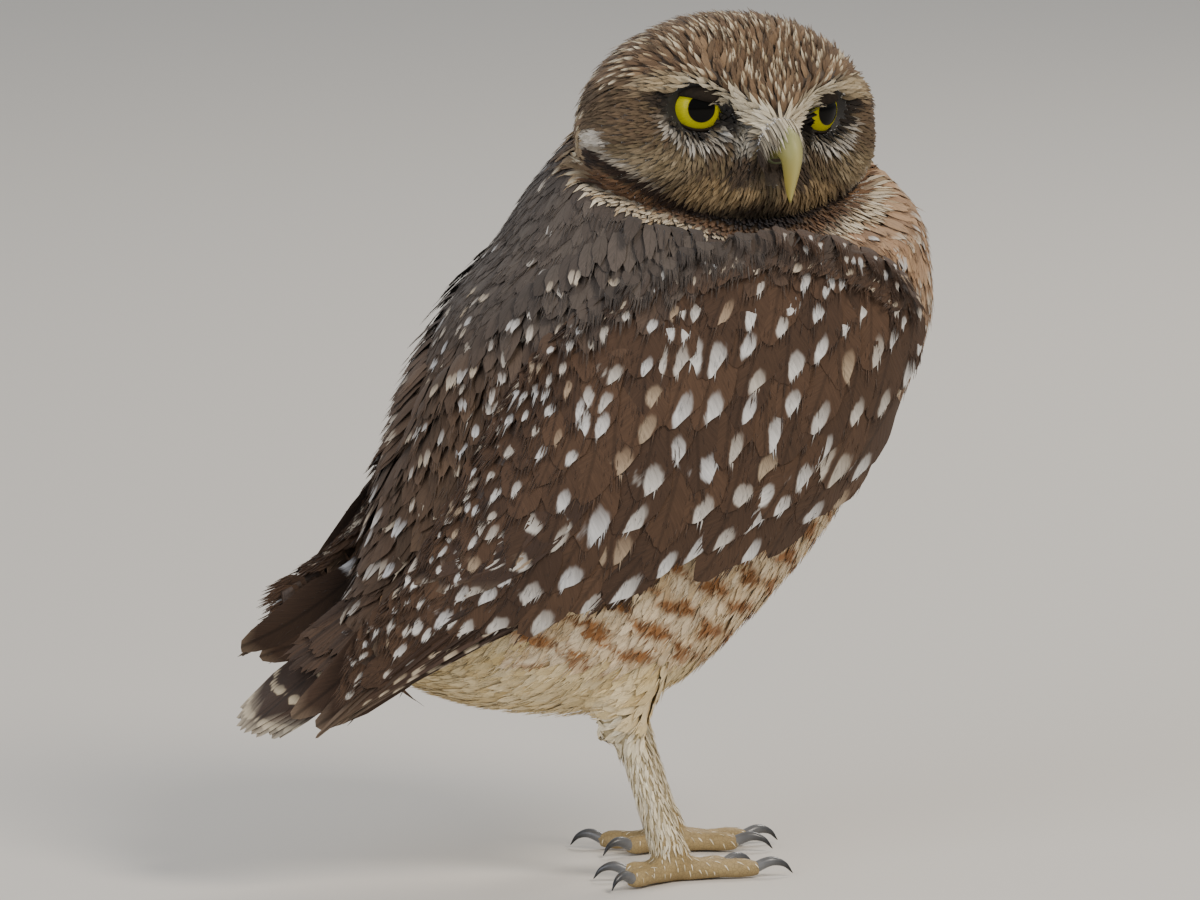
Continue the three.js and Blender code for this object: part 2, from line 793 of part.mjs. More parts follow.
function footSolid(name) {
  const [x, y] = ANKLE[name];
  const ball = tube(
    new THREE.LineCurve3(point(x - 0.9, y, ANKLE_HEIGHT + 1), point(x + 0.6, y, -0.4)),
    2,
    12,
    (t) => lerp(SHANK_RADIUS, SHANK_RADIUS + 0.9, t),
  );
  const toes = TOES.map((toe) => {
    const { at } = toeLine(name, toe);
    const line = new THREE.CatmullRomCurve3([
      at(-0.5, 2.7),
      at(toe.toe * 0.3, 2.5),
      at(toe.toe * 0.72, 2.1),
      at(toe.toe, 1.9),
    ]);
    const knuckle = (t) => 0.22 * Math.cos(t * Math.PI * 3);
    return tube(line, 6, 8, (t) => lerp(TOE_RADIUS, TOE_TIP_RADIUS, t) + knuckle(t), 1);
  });
  const solid = join([ball, ...toes]);
  return solid.trimByPlane([0, 0, 1], 0).trimByPlane([0, 0, -1], -ANKLE_HEIGHT);
}

function clawSolid(name, toe, out = 0) {
  const { at } = toeLine(name, toe);
  const line = new THREE.CatmullRomCurve3([
    at(toe.toe - 1.2 - out, 2),
    at(toe.toe + toe.claw * 0.35, 3.5),
    at(toe.toe + toe.claw * 0.75, 2.8),
    at(toe.toe + toe.claw, 0.75),
  ]);
  return tube(line, 5, 7, (t) => Math.max(CLAW_RADIUS * (1 - t) ** 0.7, 0.18) + out);
}

// Each node as a solid, cut clear of the ones it meets

const feather = new THREE.MeshStandardMaterial({ color: 0x5b4535, roughness: 0.85, metalness: 0 });
const paleFeather = new THREE.MeshStandardMaterial({ color: 0xd9c9ad, roughness: 0.9, metalness: 0 });
const horn = new THREE.MeshStandardMaterial({ color: 0x9a9c63, roughness: 0.45, metalness: 0 });
const claw = new THREE.MeshStandardMaterial({ color: 0x3d3f44, roughness: 0.4, metalness: 0 });
const eye = new THREE.MeshStandardMaterial({ color: 0xc9bf1e, roughness: 0.1, metalness: 0 });

const owl = new THREE.Group();

function addNode(name, solid, material) {
  const kept = largest(solid);
  const mesh = kept.getMesh();
  const geometry = new THREE.BufferGeometry();
  const positions = new Float32Array(mesh.numVert * 3);
  for (let i = 0; i < mesh.numVert; i++)
    positions.set(mesh.vertProperties.subarray(i * mesh.numProp, i * mesh.numProp + 3), i * 3);
  geometry.setAttribute("position", new THREE.BufferAttribute(positions, 3));
  geometry.setIndex(new THREE.BufferAttribute(mesh.triVerts, 1));
  const node = new THREE.Mesh(geometry, material);
  node.name = name;
  owl.add(node);
  return kept;
}

const headRoom = headSolid(GAP * 2.4, 24);
const eyeRooms = SIDES.map(([, side]) => eyeSolid(side, GAP));
const billRooms = [upperBill, lowerBill];

for (const [name, side] of SIDES) addNode(`eye_${name}`, eyeSolid(side), eye);
const nostrils = SIDES.map(([, side]) => nostrilSolid(side));
addNode("bill_upper", cutBy(upperBill, ...nostrils), horn);
addNode("bill_lower", cutBy(lowerBill, upperBill.translate([0, 0, -GAP]), upperBill), horn);
const lids = SIDES.map(([, side]) => lidSolid(side));
addNode("head", cutBy(join([headSolid(0), ...lids]), ...eyeRooms, ...billRooms), feather);

// The part of a solid above a plane, or below it when the side is -1.
function trimmed(solid, { normal, through }, side, shift = 0) {
  const dir = point(...normal).normalize().multiplyScalar(side);
  return solid.trimByPlane(dir.toArray(), dir.dot(point(...through)) + shift);
}

const thighRooms = SIDES.map(([name]) => thighSolid(name, GAP));
const shankRooms = SIDES.map(([name]) => shankSolid(name, GAP));
const trunk = trimmed(torsoSolid(0), NECK_CEILING, -1);
const torso = cutBy(trimmed(trunk, NECK_FLOOR, -1, GAP / 2), headRoom, ...thighRooms, ...shankRooms);
const neck = cutBy(trimmed(trunk, NECK_FLOOR, 1, GAP / 2), headRoom);
addNode("torso", torso, feather);
addNode("neck", neck, feather);
const trunkRoom = torsoSolid(GAP);
addNode("wing_right", cutBy(wingSolid("right", 3), trunkRoom, headRoom), feather);
addNode("wing_left", cutBy(mirrored(wingSolid("left", 11)), trunkRoom, headRoom), feather);
addNode("tail", cutBy(tailSolid(), trunkRoom), feather);

SIDES.forEach(([name], i) => {
  const foot = footSolid(name);
  const shankAbove = shankSolid(name).trimByPlane([0, 0, 1], ANKLE_HEIGHT + GAP);
  addNode(`thigh_${name}`, cutBy(thighSolid(name), shankRooms[i]), paleFeather);
  addNode(`shank_${name}`, shankAbove, paleFeather);
  const claws = TOES.map((toe) => clawSolid(name, toe));
  const clawRooms = TOES.map((toe) => clawSolid(name, toe, GAP));
  addNode(`foot_${name}`, cutBy(foot, ...clawRooms), paleFeather);
  TOES.forEach((toe, k) => addNode(`claw_${toe.name}_${name}`, claws[k], claw));
});

owl.updateMatrixWorld(true);
const bounds = new THREE.Box3().setFromObject(owl);
const middle = bounds.getCenter(new THREE.Vector3());
owl.position.set(-middle.x, -middle.y, -bounds.min.z);

export default owl;
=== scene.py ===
import math

import bmesh
import bpy
import numpy as np
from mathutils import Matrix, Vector
from mathutils.bvhtree import BVHTree
from mathutils.kdtree import KDTree


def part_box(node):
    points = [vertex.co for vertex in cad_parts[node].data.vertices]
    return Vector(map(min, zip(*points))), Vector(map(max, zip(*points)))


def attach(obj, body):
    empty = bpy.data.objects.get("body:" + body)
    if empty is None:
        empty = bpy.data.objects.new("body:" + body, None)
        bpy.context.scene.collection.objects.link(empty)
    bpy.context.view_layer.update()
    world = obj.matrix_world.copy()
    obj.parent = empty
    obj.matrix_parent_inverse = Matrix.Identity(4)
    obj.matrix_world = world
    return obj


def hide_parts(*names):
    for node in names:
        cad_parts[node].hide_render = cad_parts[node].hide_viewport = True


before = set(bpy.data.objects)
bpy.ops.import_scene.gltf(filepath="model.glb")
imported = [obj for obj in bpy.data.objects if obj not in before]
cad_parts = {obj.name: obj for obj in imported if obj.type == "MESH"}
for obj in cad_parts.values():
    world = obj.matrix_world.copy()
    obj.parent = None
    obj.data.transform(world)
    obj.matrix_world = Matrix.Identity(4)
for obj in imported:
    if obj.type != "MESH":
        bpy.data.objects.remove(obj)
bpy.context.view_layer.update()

# The hide: one skin over breast, back, neck, head, thighs, shanks and toes. It is soft grey
# pink leather on the real bird, hidden by the coat except for the toes. It is lofted part by
# part, a coat's depth inside the solids, and fused so that no seam shows.
TRUNK_BACK = [
    (-13.5, 171), (-22, 161), (-29.5, 152), (-37, 141), (-48, 127), (-55, 112), (-60, 97),
    (-63, 85), (-65, 76.5), (-67, 70), (-69, 64.5), (-71, 60.5), (-72, 58),
]
TRUNK_BELLY = [
    (46, 171), (54.5, 161), (57.5, 151.5), (62.5, 140), (63.5, 122.5), (56.5, 104.5), (45.5, 86.5),
    (33, 70), (18.5, 54.5), (3, 42), (-17, 36.5), (-38, 38), (-55, 43.5),
]
TRUNK_HALF = [23, 27.5, 32.5, 36, 38.5, 39.5, 39, 37, 33, 28, 22.5, 16.5, 10.5]
TRUNK_ROUNDNESS = 2.25
NECK_TOP_NORMAL = (0.12, -0.5, 1.0)
NECK_TOP_THROUGH = (14, -5, 153.5)
HEAD_MIDDLE = (14.4, -5, 163.5)
HEAD_TURN = -77
HEAD_LEAN = -4.8
HEAD_HALF_WIDTH = 38
HEAD_CROWN = 28.5
HEAD_CHIN = 20.5
HEAD_ROUNDNESS = 2.05
HEAD_RINGS = [
    (19.4, 0.07), (19.2, 0.18), (18.7, 0.3), (17.9, 0.42), (16.8, 0.54), (15.2, 0.67), (13, 0.8),
    (10, 0.915), (5.5, 0.99), (0, 1), (-7, 0.95), (-14, 0.85), (-20.5, 0.68), (-25.5, 0.46),
    (-28.2, 0.2),
]
# Each swelling of the face: out to the side, up, its width and height, and how far out.
FACE_FORMS = [
    (0, 3, 6, 9, 5.6), (6.5, 10.5, 6, 3.4, 3), (16.5, 15, 9, 3.2, 3.2), (16.8, 6.5, 9, 7, -6),
    (4, -12.5, 9, 4.5, 4.4), (22, -6, 11, 7, 1.4),
]
EYE_SPREAD = 16.9
EYE_RISE = 7.4
EYE_FRONT = 15.3
EYE_TURN_OUT = 17
EYE_BALL = 8.1
CORNEA_BULGE = 1.1
SIDES = {"right": -1, "left": 1}
ANKLES = {"right": (-3.2, -19.0), "left": (9.6, 19.0)}
ANKLE_HEIGHT = 7.5
HOCK_BACK = 14
HOCK_HEIGHT = 46
# Each toe: its bearing from straight ahead, its length and that of its claw.
TOES = [
    ("inner", -20, 15.5, 8), ("middle", 6, 19.5, 8), ("outer", 147, 15.2, 7),
    ("hind", -165, 10.5, 7),
]
TOE_RADII = [2.8, 2.6, 2.15, 2.3, 1.7]
THIGH_TOP, THIGH_DROP = 62, 30
THIGH_DEEP, THIGH_WIDE = 12.5, 9.5
THIGH_COAT = 1.6
SHANK_RADII = np.array([5, 3.9, 4.1])
BODY_COAT = 2.4
HEAD_COAT = 1.9
LEG_COAT = 0.7
SKIN_VOXEL = 0.85


def on_line(points, share):
    """Points of a smooth line through the given ones, at a share of its steps."""
    p = np.asarray(points, float)
    p = p[:, None] if p.ndim == 1 else p
    p = np.vstack([2 * p[0] - p[1], p, 2 * p[-1] - p[-2]])
    steps = len(p) - 3
    place = np.clip(np.asarray(share, float), 0, 1) * steps
    i = np.minimum(place.astype(int), steps - 1)
    f = (place - i)[..., None]
    a, b, c, d = p[i], p[i + 1], p[i + 2], p[i + 3]
    square, cube = 2 * a - 5 * b + 4 * c - d, 3 * b - a - 3 * c + d
    return 0.5 * (2 * b + (c - a) * f + square * f**2 + cube * f**3)


def fuller(value, roundness):
    """A cosine or sine drawn towards a square."""
    return np.sign(value) * np.abs(value) ** (2 / roundness)


def unit(v):
    return v / np.maximum(np.linalg.norm(v, axis=-1, keepdims=True), 1e-9)


def smooth(x, low, high):
    t = np.clip((x - low) / (high - low), 0, 1)
    return t * t * (3 - 2 * t)


def turned(axis, degrees):
    """The rotation matrix about x or z."""
    c, s = math.cos(math.radians(degrees)), math.sin(math.radians(degrees))
    if axis == "x":
        return np.array([[1, 0, 0], [0, c, -s], [0, s, c]])
    return np.array([[c, -s, 0], [s, c, 0], [0, 0, 1]])


def trunk_at(share, angle, out=0.0):
    """A point of the trunk: share runs from shoulders to vent, angle from the back over the right."""
    back, belly = on_line(TRUNK_BACK, share), on_line(TRUNK_BELLY, share)
    middle, spread = (back + belly) / 2, (back - belly) / 2
    length = np.linalg.norm(spread, axis=-1)
    lie = spread / length[..., None]
    up = (length + out) * fuller(np.cos(angle), TRUNK_ROUNDNESS)
    across = (on_line(TRUNK_HALF, share)[..., 0] + out) * fuller(np.sin(angle), TRUNK_ROUNDNESS)
    return np.stack([middle[..., 0] + lie[..., 0] * up, -across, middle[..., 1] + lie[..., 1] * up], -1)


HEAD_AXES = turned("z", HEAD_TURN) @ turned("x", HEAD_LEAN)


def on_head(ahead, left, up):
    return np.stack(np.broadcast_arrays(ahead, left, up), -1) @ HEAD_AXES.T + HEAD_MIDDLE


def from_head(points):
    """Ahead, left and up of points from the middle of the head."""
    return (points - HEAD_MIDDLE) @ HEAD_AXES


def head_at(share, angle, out=0.0):
    """A point of the head: share runs from the bridge back to the nape, angle from its left up."""
    ring = on_line(HEAD_RINGS, share)
    ahead, girth = ring[..., 0], ring[..., 1]
    high = fuller(np.sin(angle), HEAD_ROUNDNESS)
    left = girth * HEAD_HALF_WIDTH * fuller(np.cos(angle), HEAD_ROUNDNESS)
    up = girth * np.where(high > 0, HEAD_CROWN, HEAD_CHIN) * high
    for side, rise, wide, tall, swell in FACE_FORMS:
        bump = swell * np.exp(-(((np.abs(left) - side) / wide) ** 2) - ((up - rise) / tall) ** 2)
        ahead = ahead + bump * smooth(ring[..., 0], -1, 3)
    grow = 1 + out / HEAD_CROWN
    return on_head(ahead * grow, left * grow, up * grow)


def loft(rings):
    """Points and quads of a closed form from rings of points, each end drawn to its middle."""
    count, sides = rings.shape[:2]
    points = np.vstack([rings.reshape(-1, 3), rings[0].mean(0), rings[-1].mean(0)])
    r, k = np.meshgrid(np.arange(count - 1), np.arange(sides), indexing="ij")
    a, b = r * sides + k, r * sides + (k + 1) % sides
    faces = [tuple(q) for q in np.stack([a, b, b + sides, a + sides], -1).reshape(-1, 4)]
    ends = [(count * sides, 0, -1), (count * sides + 1, (count - 1) * sides, 1)]
    for middle, first, way in ends:
        for j in range(sides):
            pair = (first + j, first + (j + 1) % sides)
            faces.append((middle, *pair[::way]))
    return points, faces


def tube(points, radii, sides=20, steps=30):
    """A round form along a smooth line, with a radius for each of its points."""
    share = np.linspace(0, 1, steps + 1)
    line, radius = on_line(points, share), on_line(radii, share)[:, 0]
    along = unit(np.gradient(line, axis=0))
    across = unit(np.cross([0, 0, 1.0], along) + [0, 1e-3, 0])
    up = np.cross(along, across)
    a = np.linspace(0, 2 * np.pi, sides, endpoint=False)
    ring = np.cos(a)[None, :, None] * across[:, None] + np.sin(a)[None, :, None] * up[:, None]
    return loft(line[:, None] + ring * radius[:, None, None])


# The frame counts X from the middle of the bird's box, and the sizes here from its shoulders.
eye_low, eye_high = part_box("eye_right")
turn_out = turned("z", -EYE_TURN_OUT)[:, 0] * (EYE_BALL + CORNEA_BULGE)
eye_middle = on_head(*(np.array([EYE_FRONT, -EYE_SPREAD, EYE_RISE]) - turn_out))
ORIGIN = np.array([(eye_low.x + eye_high.x) * 500 - eye_middle[0], 0, 0])


def to_frame(points):
    """Millimetres from the shoulders' origin to metres in the frame."""
    return (np.asarray(points, float) + ORIGIN) * 0.001


def new_piece(name, points, faces):
    """A smooth mesh piece, its faces turned outward, that rides on the bird."""
    mesh = bpy.data.meshes.new(name)
    mesh.from_pydata([tuple(p) for p in to_frame(points)], [], faces)
    form = bmesh.new()
    form.from_mesh(mesh)
    bmesh.ops.recalc_face_normals(form, faces=form.faces)
    form.to_mesh(mesh)
    form.free()
    mesh.shade_smooth()
    piece = bpy.data.objects.new(name, mesh)
    bpy.context.scene.collection.objects.link(piece)
    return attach(piece, "root")


def toe_points(name, bearing, reach):
    """The middle line of a toe at each reach and height."""
    x, y = ANKLES[name]
    side = SIDES[name]
    lie = np.array([math.cos(math.radians(bearing)), side * math.sin(math.radians(bearing)), 0])
    return np.array([np.array([x, y, up]) + lie * far for far, up in reach])


def shank_points(name):
    x, y = ANKLES[name]
    return [
        (x - HOCK_BACK, y * 0.86, HOCK_HEIGHT),
        (x - HOCK_BACK * 0.55, y * 0.93, HOCK_HEIGHT * 0.6),
        (x - 0.6, y, ANKLE_HEIGHT - 2.2),
    ]


def body_forms():
    """Every form of flesh, as points and faces."""
    turn = np.linspace(0, 2 * np.pi, 96, endpoint=False)[None]
    trunk = trunk_at(np.linspace(0.02, 1, 90)[:, None], turn, -BODY_COAT)
    normal = np.array(NECK_TOP_NORMAL) / np.linalg.norm(NECK_TOP_NORMAL)
    above = np.maximum((trunk - NECK_TOP_THROUGH) @ normal, 0)
    yield loft(trunk - above[..., None] * normal)
    yield loft(head_at(np.linspace(0, 1, 80)[:, None], turn, -HEAD_COAT))
    for name in SIDES:
        x, y = ANKLES[name]
        t = np.linspace(0, 1, 16)[:, None]
        girth = np.sin(np.pi * (0.42 - 0.34 * t)) ** 0.8
        a = turn[:, ::4]
        thigh = np.stack(
            np.broadcast_arrays(
                x - HOCK_BACK * (0.45 + 0.41 * t) + (THIGH_DEEP - THIGH_COAT) * girth * np.cos(a),
                y * 0.84 + (THIGH_WIDE - THIGH_COAT) * girth * np.sin(a),
                THIGH_TOP - THIGH_DROP * t,
            ),
            -1,
        )
        yield loft(thigh)
        yield tube(shank_points(name), SHANK_RADII - LEG_COAT * np.array([1, 1, 0.5]))
        yield tube([(x - 0.9, y, ANKLE_HEIGHT + 1.5), (x, y, 3.8), (x + 0.4, y, 1.6)], [3.6, 4, 3.2])
        for _, bearing, toe, _ in TOES:
            reach = [(-0.5, 2.7), (toe * 0.3, 2.6), (toe * 0.55, 2.35), (toe * 0.8, 2.3)]
            reach.append((toe + 0.4, 2.0))
            yield tube(toe_points(name, bearing, reach), TOE_RADII, sides=16)


def fused_skin():
    """All the forms in one closed mesh of even quads, in millimetres."""
    points, faces = [], []
    for p, f in body_forms():
        start = sum(len(x) for x in points)
        points.append(p)
        faces += [tuple(v + start for v in face) for face in f]
    mesh = bpy.data.meshes.new("forms")
    mesh.from_pydata([tuple(p) for p in np.vstack(points)], [], faces)
    forms = bpy.data.objects.new("forms", mesh)
    bpy.context.scene.collection.objects.link(forms)
    remesh = forms.modifiers.new("fuse", "REMESH")
    remesh.mode = "VOXEL"
    remesh.voxel_size = SKIN_VOXEL
    relax = forms.modifiers.new("relax", "SMOOTH")
    relax.factor, relax.iterations = 0.5, 6
    done = bpy.data.meshes.new_from_object(forms.evaluated_get(bpy.context.evaluated_depsgraph_get()))
    bpy.data.objects.remove(forms)
    co = np.zeros(len(done.vertices) * 3, np.float32)
    done.vertices.foreach_get("co", co)
    quads = [tuple(p.vertices) for p in done.polygons]
    normals = np.zeros(len(done.vertices) * 3, np.float32)
    done.vertices.foreach_get("normal", normals)
    edges = np.zeros(len(done.edges) * 2, np.int32)
    done.edges.foreach_get("vertices", edges)
    co, normals = (values.reshape(-1, 3).astype(float) for values in (co, normals))
    return co, quads, normals, edges.reshape(-1, 2)


skin_at, skin_faces, skin_out, skin_edges = fused_skin()
# The solids lie on the floor plane, so the toes' undersides are flat there.
skin_at[:, 2] = np.maximum(skin_at[:, 2], 0.0)


def linear(hex_colour):
    """An sRGB hex colour as linear red, green and blue."""
    c = np.array([int(hex_colour[i : i + 2], 16) for i in (1, 3, 5)]) / 255
    return np.where(c <= 0.04045, c / 12.92, ((c + 0.055) / 1.055) ** 2.4)


def opaque(hex_colour):
    """The colour with an alpha of 1, as a colour socket takes it."""
    return (*linear(hex_colour), 1)


def add(tree, kind, inputs=None, **settings):
    """One shader node with its settings; an input is a value, or another node's output to link."""
    node = tree.nodes.new("ShaderNode" + kind)
    for key, value in settings.items():
        setattr(node, key, value)
    for key, value in (inputs or {}).items():
        if isinstance(value, bpy.types.NodeSocket):
            tree.links.new(value, node.inputs[key])
        else:
            node.inputs[key].default_value = value
    return node


def finish_named(name, roughness, **values):
    """A new material, its tree and its shader, with even values set on the shader itself."""
    material = bpy.data.materials.new(name)
    material.use_nodes = True
    shader = material.node_tree.nodes["Principled BSDF"]
    shader.inputs["Roughness"].default_value = roughness
    for key, value in values.items():
        shader.inputs[key.replace("_", " ")].default_value = value
    return material, material.node_tree, shader


# Where each point of the skin is: on the head or the trunk, how far along it, and round it.
HEAD_RING_STEPS, TRUNK_RING_STEPS, ROUND_STEPS = 90, 140, 120
ring_angles = np.linspace(0, 2 * np.pi, ROUND_STEPS, endpoint=False)
chart = []
charted = ((head_at, HEAD_RING_STEPS, -HEAD_COAT), (trunk_at, TRUNK_RING_STEPS, -BODY_COAT))
for form, steps, out in charted:
    shares, angles = np.meshgrid(np.linspace(0, 1, steps), ring_angles, indexing="ij")
    at = form(shares, angles, out)
    ahead = form(np.minimum(shares + 0.01, 1), angles, out)
    behind = form(np.maximum(shares - 0.01, 0), angles, out)
    along = unit(ahead - behind).reshape(-1, 3)
    chart.append((shares.ravel(), angles.ravel(), at.reshape(-1, 3), along))
chart_share, chart_angle, chart_at, chart_lie = (np.concatenate(c) for c in zip(*chart))
chart_head = np.arange(len(chart_share)) < HEAD_RING_STEPS * ROUND_STEPS
finder = KDTree(len(chart_at))
for i, p in enumerate(chart_at):
    finder.insert(p, i)
finder.balance()
above_neck = (skin_at - NECK_TOP_THROUGH) @ unit(np.array(NECK_TOP_NORMAL)) > 1.0
nearest = np.array([
    finder.find(p, filter=lambda i: i < HEAD_RING_STEPS * ROUND_STEPS)[1] if high else finder.find(p)[1]
    for p, high in zip(skin_at.tolist(), above_neck)
])
skin_share, skin_angle, skin_on_head = chart_share[nearest], chart_angle[nearest], chart_head[nearest]

# The lie of the coat: out from the bridge and the eyes over the face, along the brows, back over
# the crown, down at the nape, and from shoulders to tail on the trunk. Legs are covered downwards.
BROW_LINE = [
    (0, 4.6), (3, 5.9), (9, 9.4), (15, 12.1), (20, 12.9), (25, 13.0), (30, 11.8), (36, 9.0),
]
BROW_HALF = (-4.2, -2.2)
LIE_PASSES = 14


def from_line(line, side, up):
    """How far a place on the face lies above a line drawn across it."""
    x, y = np.array(line).T
    return up - np.interp(np.abs(side), x, y)


def brow_slope(side):
    return from_line(BROW_LINE, side, 0) - from_line(BROW_LINE, np.abs(side) + 1, 0)


skin_head = from_head(skin_at)
ahead, left, up = skin_head.T
lie = chart_lie[nearest].copy()
from_bridge = np.stack([-0.6 * np.ones_like(ahead), left, (up - 4) * 1.15], -1)
from_bridge[:, 1:] /= np.maximum(np.hypot(from_bridge[:, 1], from_bridge[:, 2]), 1e-6)[:, None]
face_lie = from_bridge @ HEAD_AXES.T
for side in (-1, 1):
    out = np.stack([0 * left, left - side * EYE_SPREAD, up - EYE_RISE], -1)
    reach = np.linalg.norm(out, axis=-1)
    near = smooth(-reach, -17, -8)[:, None] * (ahead > 0)[:, None]
    face_lie = face_lie * (1 - near) + (unit(out) @ HEAD_AXES.T) * near
along_brow = np.stack([-0.35 * np.ones_like(ahead), np.sign(left), brow_slope(left)], -1)
on_brow = smooth(-np.abs(from_line(BROW_LINE, left, up) + 0.4), *BROW_HALF)
on_brow = on_brow * (ahead > 0) * smooth(np.abs(left), 1, 4)
face_lie = face_lie * (1 - on_brow[:, None]) + (unit(along_brow) @ HEAD_AXES.T) * on_brow[:, None]
falling = np.stack([-0.25 * np.ones_like(ahead), 0 * ahead, -np.ones_like(ahead)], -1)
fall = smooth(-ahead, 2, 20) * smooth(-up, -24, -6)
fall = np.maximum(fall, smooth(-up, 6, 15) * 0.75)[:, None]
head_lie = unit(face_lie) * (1 - fall) + falling * fall
lie = np.where(skin_on_head[:, None], head_lie, lie)
on_leg = skin_at[:, 2] < 34
lie[on_leg] = (0.1, 0, -1)
for _ in range(LIE_PASSES):
    total = lie.copy()
    for a, b in ((0, 1), (1, 0)):
        for axis in range(3):
            total[:, axis] += np.bincount(skin_edges[:, a], lie[skin_edges[:, b], axis], len(lie))
    lie = unit(total - (total * skin_out).sum(1, keepdims=True) * skin_out)

face_points = [list(f) for f in skin_faces]
quads = np.array([f if len(f) == 4 else (*f, f[-1]) for f in face_points])
patch_at = skin_at[quads].mean(1)
patch_out = unit(skin_out[quads].mean(1))
patch_lie = unit(lie[quads].mean(1))
patch_area = 0.5 * np.linalg.norm(
    np.cross(skin_at[quads[:, 2]] - skin_at[quads[:, 0]], skin_at[quads[:, 3]] - skin_at[quads[:, 1]]), axis=1
)
patch_share, patch_angle = skin_share[quads[:, 0]], skin_angle[quads[:, 0]]
patch_on_head = skin_on_head[quads[:, 0]]
patch_head = from_head(patch_at)
skin_tree = BVHTree.FromPolygons([Vector(p) for p in skin_at], face_points)

def note_points(mesh, key, values):
    """Keeps three or four values for each point of a mesh, for its material to read."""
    values = np.asarray(values, np.float32)
    kind, field = ("FLOAT_COLOR", "color") if values.shape[1] == 4 else ("FLOAT_VECTOR", "vector")
    mesh.attributes.new(key, kind, "POINT").data.foreach_set(field, values.ravel())


skin_piece = new_piece("skin", skin_at, face_points)
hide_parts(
    "torso", "neck", "head", "thigh_right", "thigh_left", "shank_right", "shank_left",
    "foot_right", "foot_left",
)

# Scaled skin of the toes: ochre grey leather in small dull plates with darker joints between
# them; under the coat it is the colour of the down there, so that no gap shows bare.
SKIN_PLATE = 0.0009
SKIN_MOTTLE = 0.004
hide_material, tree, shader = finish_named("scaled_skin", 0.62)
tint = add(tree, "Attribute", attribute_name="coat")
where = add(tree, "TexCoord")
plates = add(
    tree, "TexVoronoi", {"Vector": where.outputs["Object"], "Scale": 1 / SKIN_PLATE},
    feature="DISTANCE_TO_EDGE",
)
edge = add(
    tree, "MapRange",
    {"Value": plates.outputs["Distance"], "From Max": 0.12, "To Min": 0.72, "To Max": 1.0},
)
mottle = add(
    tree, "TexNoise", {"Vector": where.outputs["Object"], "Scale": 1 / SKIN_MOTTLE, "Detail": 3.0},
)
shade = add(tree, "MapRange", {"Value": mottle.outputs["Fac"], "To Min": 0.75, "To Max": 1.2})
both = add(tree, "Math", {0: edge.outputs["Result"], 1: shade.outputs["Result"]}, operation="MULTIPLY")
painted = add(
    tree, "VectorMath", {0: tint.outputs["Color"], "Scale": both.outputs["Value"]}, operation="SCALE",
)
relief = add(tree, "Bump", {"Height": edge.outputs["Result"], "Strength": 0.5, "Distance": 0.0002})
tree.links.new(painted.outputs["Vector"], shader.inputs["Base Color"])
tree.links.new(relief.outputs["Normal"], shader.inputs["Normal"])
skin_piece.data.materials.append(hide_material)


# Feathers: each is a thin leaf of barbs on a shaft, with its markings placed on its own webs.
# All of a tract are joined in one mesh, each a closed leaf with its root sunk in the skin.
PATCH_ON_UNWRAP = 0.003
HEAD_ON_UNWRAP = (0.62, 0.36)
TRUNK_ON_UNWRAP = (0.02, 0.56)
TRIES_PER_ROOT = 5


def scatter(chosen, spacing, seed):
    """Roots spread evenly over the chosen patches of skin, with a spacing in mm for each patch."""
    rng = np.random.default_rng(seed)
    ids = np.flatnonzero(chosen)
    gap = np.broadcast_to(np.asarray(spacing, float), patch_at.shape[:1])[ids]
    weight = patch_area[ids] / gap**2
    tries = rng.choice(len(ids), int(weight.sum() * TRIES_PER_ROOT), p=weight / weight.sum())
    mix = rng.dirichlet(np.ones(4) * 0.8, len(tries))
    spots = (skin_at[quads[ids[tries]]] * mix[..., None]).sum(1)
    cell = gap.max()
    held, kept = {}, []
    for i, (spot, limit) in enumerate(zip(spots.tolist(), gap[tries].tolist())):
        key = tuple(int(c // cell) for c in spot)
        near = (
            q
            for dx in (-1, 0, 1)
            for dy in (-1, 0, 1)
            for dz in (-1, 0, 1)
            for q in held.get((key[0] + dx, key[1] + dy, key[2] + dz), ())
        )
        room = limit * limit
        away = ((q[0] - spot[0]) ** 2 + (q[1] - spot[1]) ** 2 + (q[2] - spot[2]) ** 2 for q in near)
        if all(square >= room for square in away):
            held.setdefault(key, []).append(spot)
            kept.append(i)
    return spots[kept], ids[tries[kept]]


def laid(roots, patches, length, steps, rng, stray=0.15, bend=0.5, drift=0.0):
    """The middle line of each feather along the skin, with the skin's normal and the way across."""
    way = patch_lie[patches] + rng.normal(0, stray, roots.shape) + drift
    line, outs = [roots], [patch_out[patches]]
    at, out = roots.copy(), patch_out[patches]
    for _ in range(steps):
        way = unit(way - (way * out).sum(1, keepdims=True) * out)
        aim = at + way * (length / steps)[:, None]
        found = [skin_tree.find_nearest(p) for p in aim.tolist()]
        at = np.array([f[0] for f in found])
        ids = np.array([f[2] for f in found])
        out = unit(out * 0.5 + patch_out[ids])
        way = unit(way + patch_lie[ids] * bend / steps)
        line.append(at)
        outs.append(out)
    line, outs = np.stack(line, 1), np.stack(outs, 1)
    across = unit(np.cross(outs, unit(np.gradient(line, axis=1))))
    return line, outs, across


def unwrapped(patches):
    """The place of each root on the unwrap of the skin."""
    u = patch_angle[patches] / (2 * np.pi)
    (head, head_high), (trunk, trunk_high) = HEAD_ON_UNWRAP, TRUNK_ON_UNWRAP
    v = patch_share[patches]
    v = np.where(patch_on_head[patches], head + head_high * v, trunk + trunk_high * v)
    return np.stack([u, v], 1)


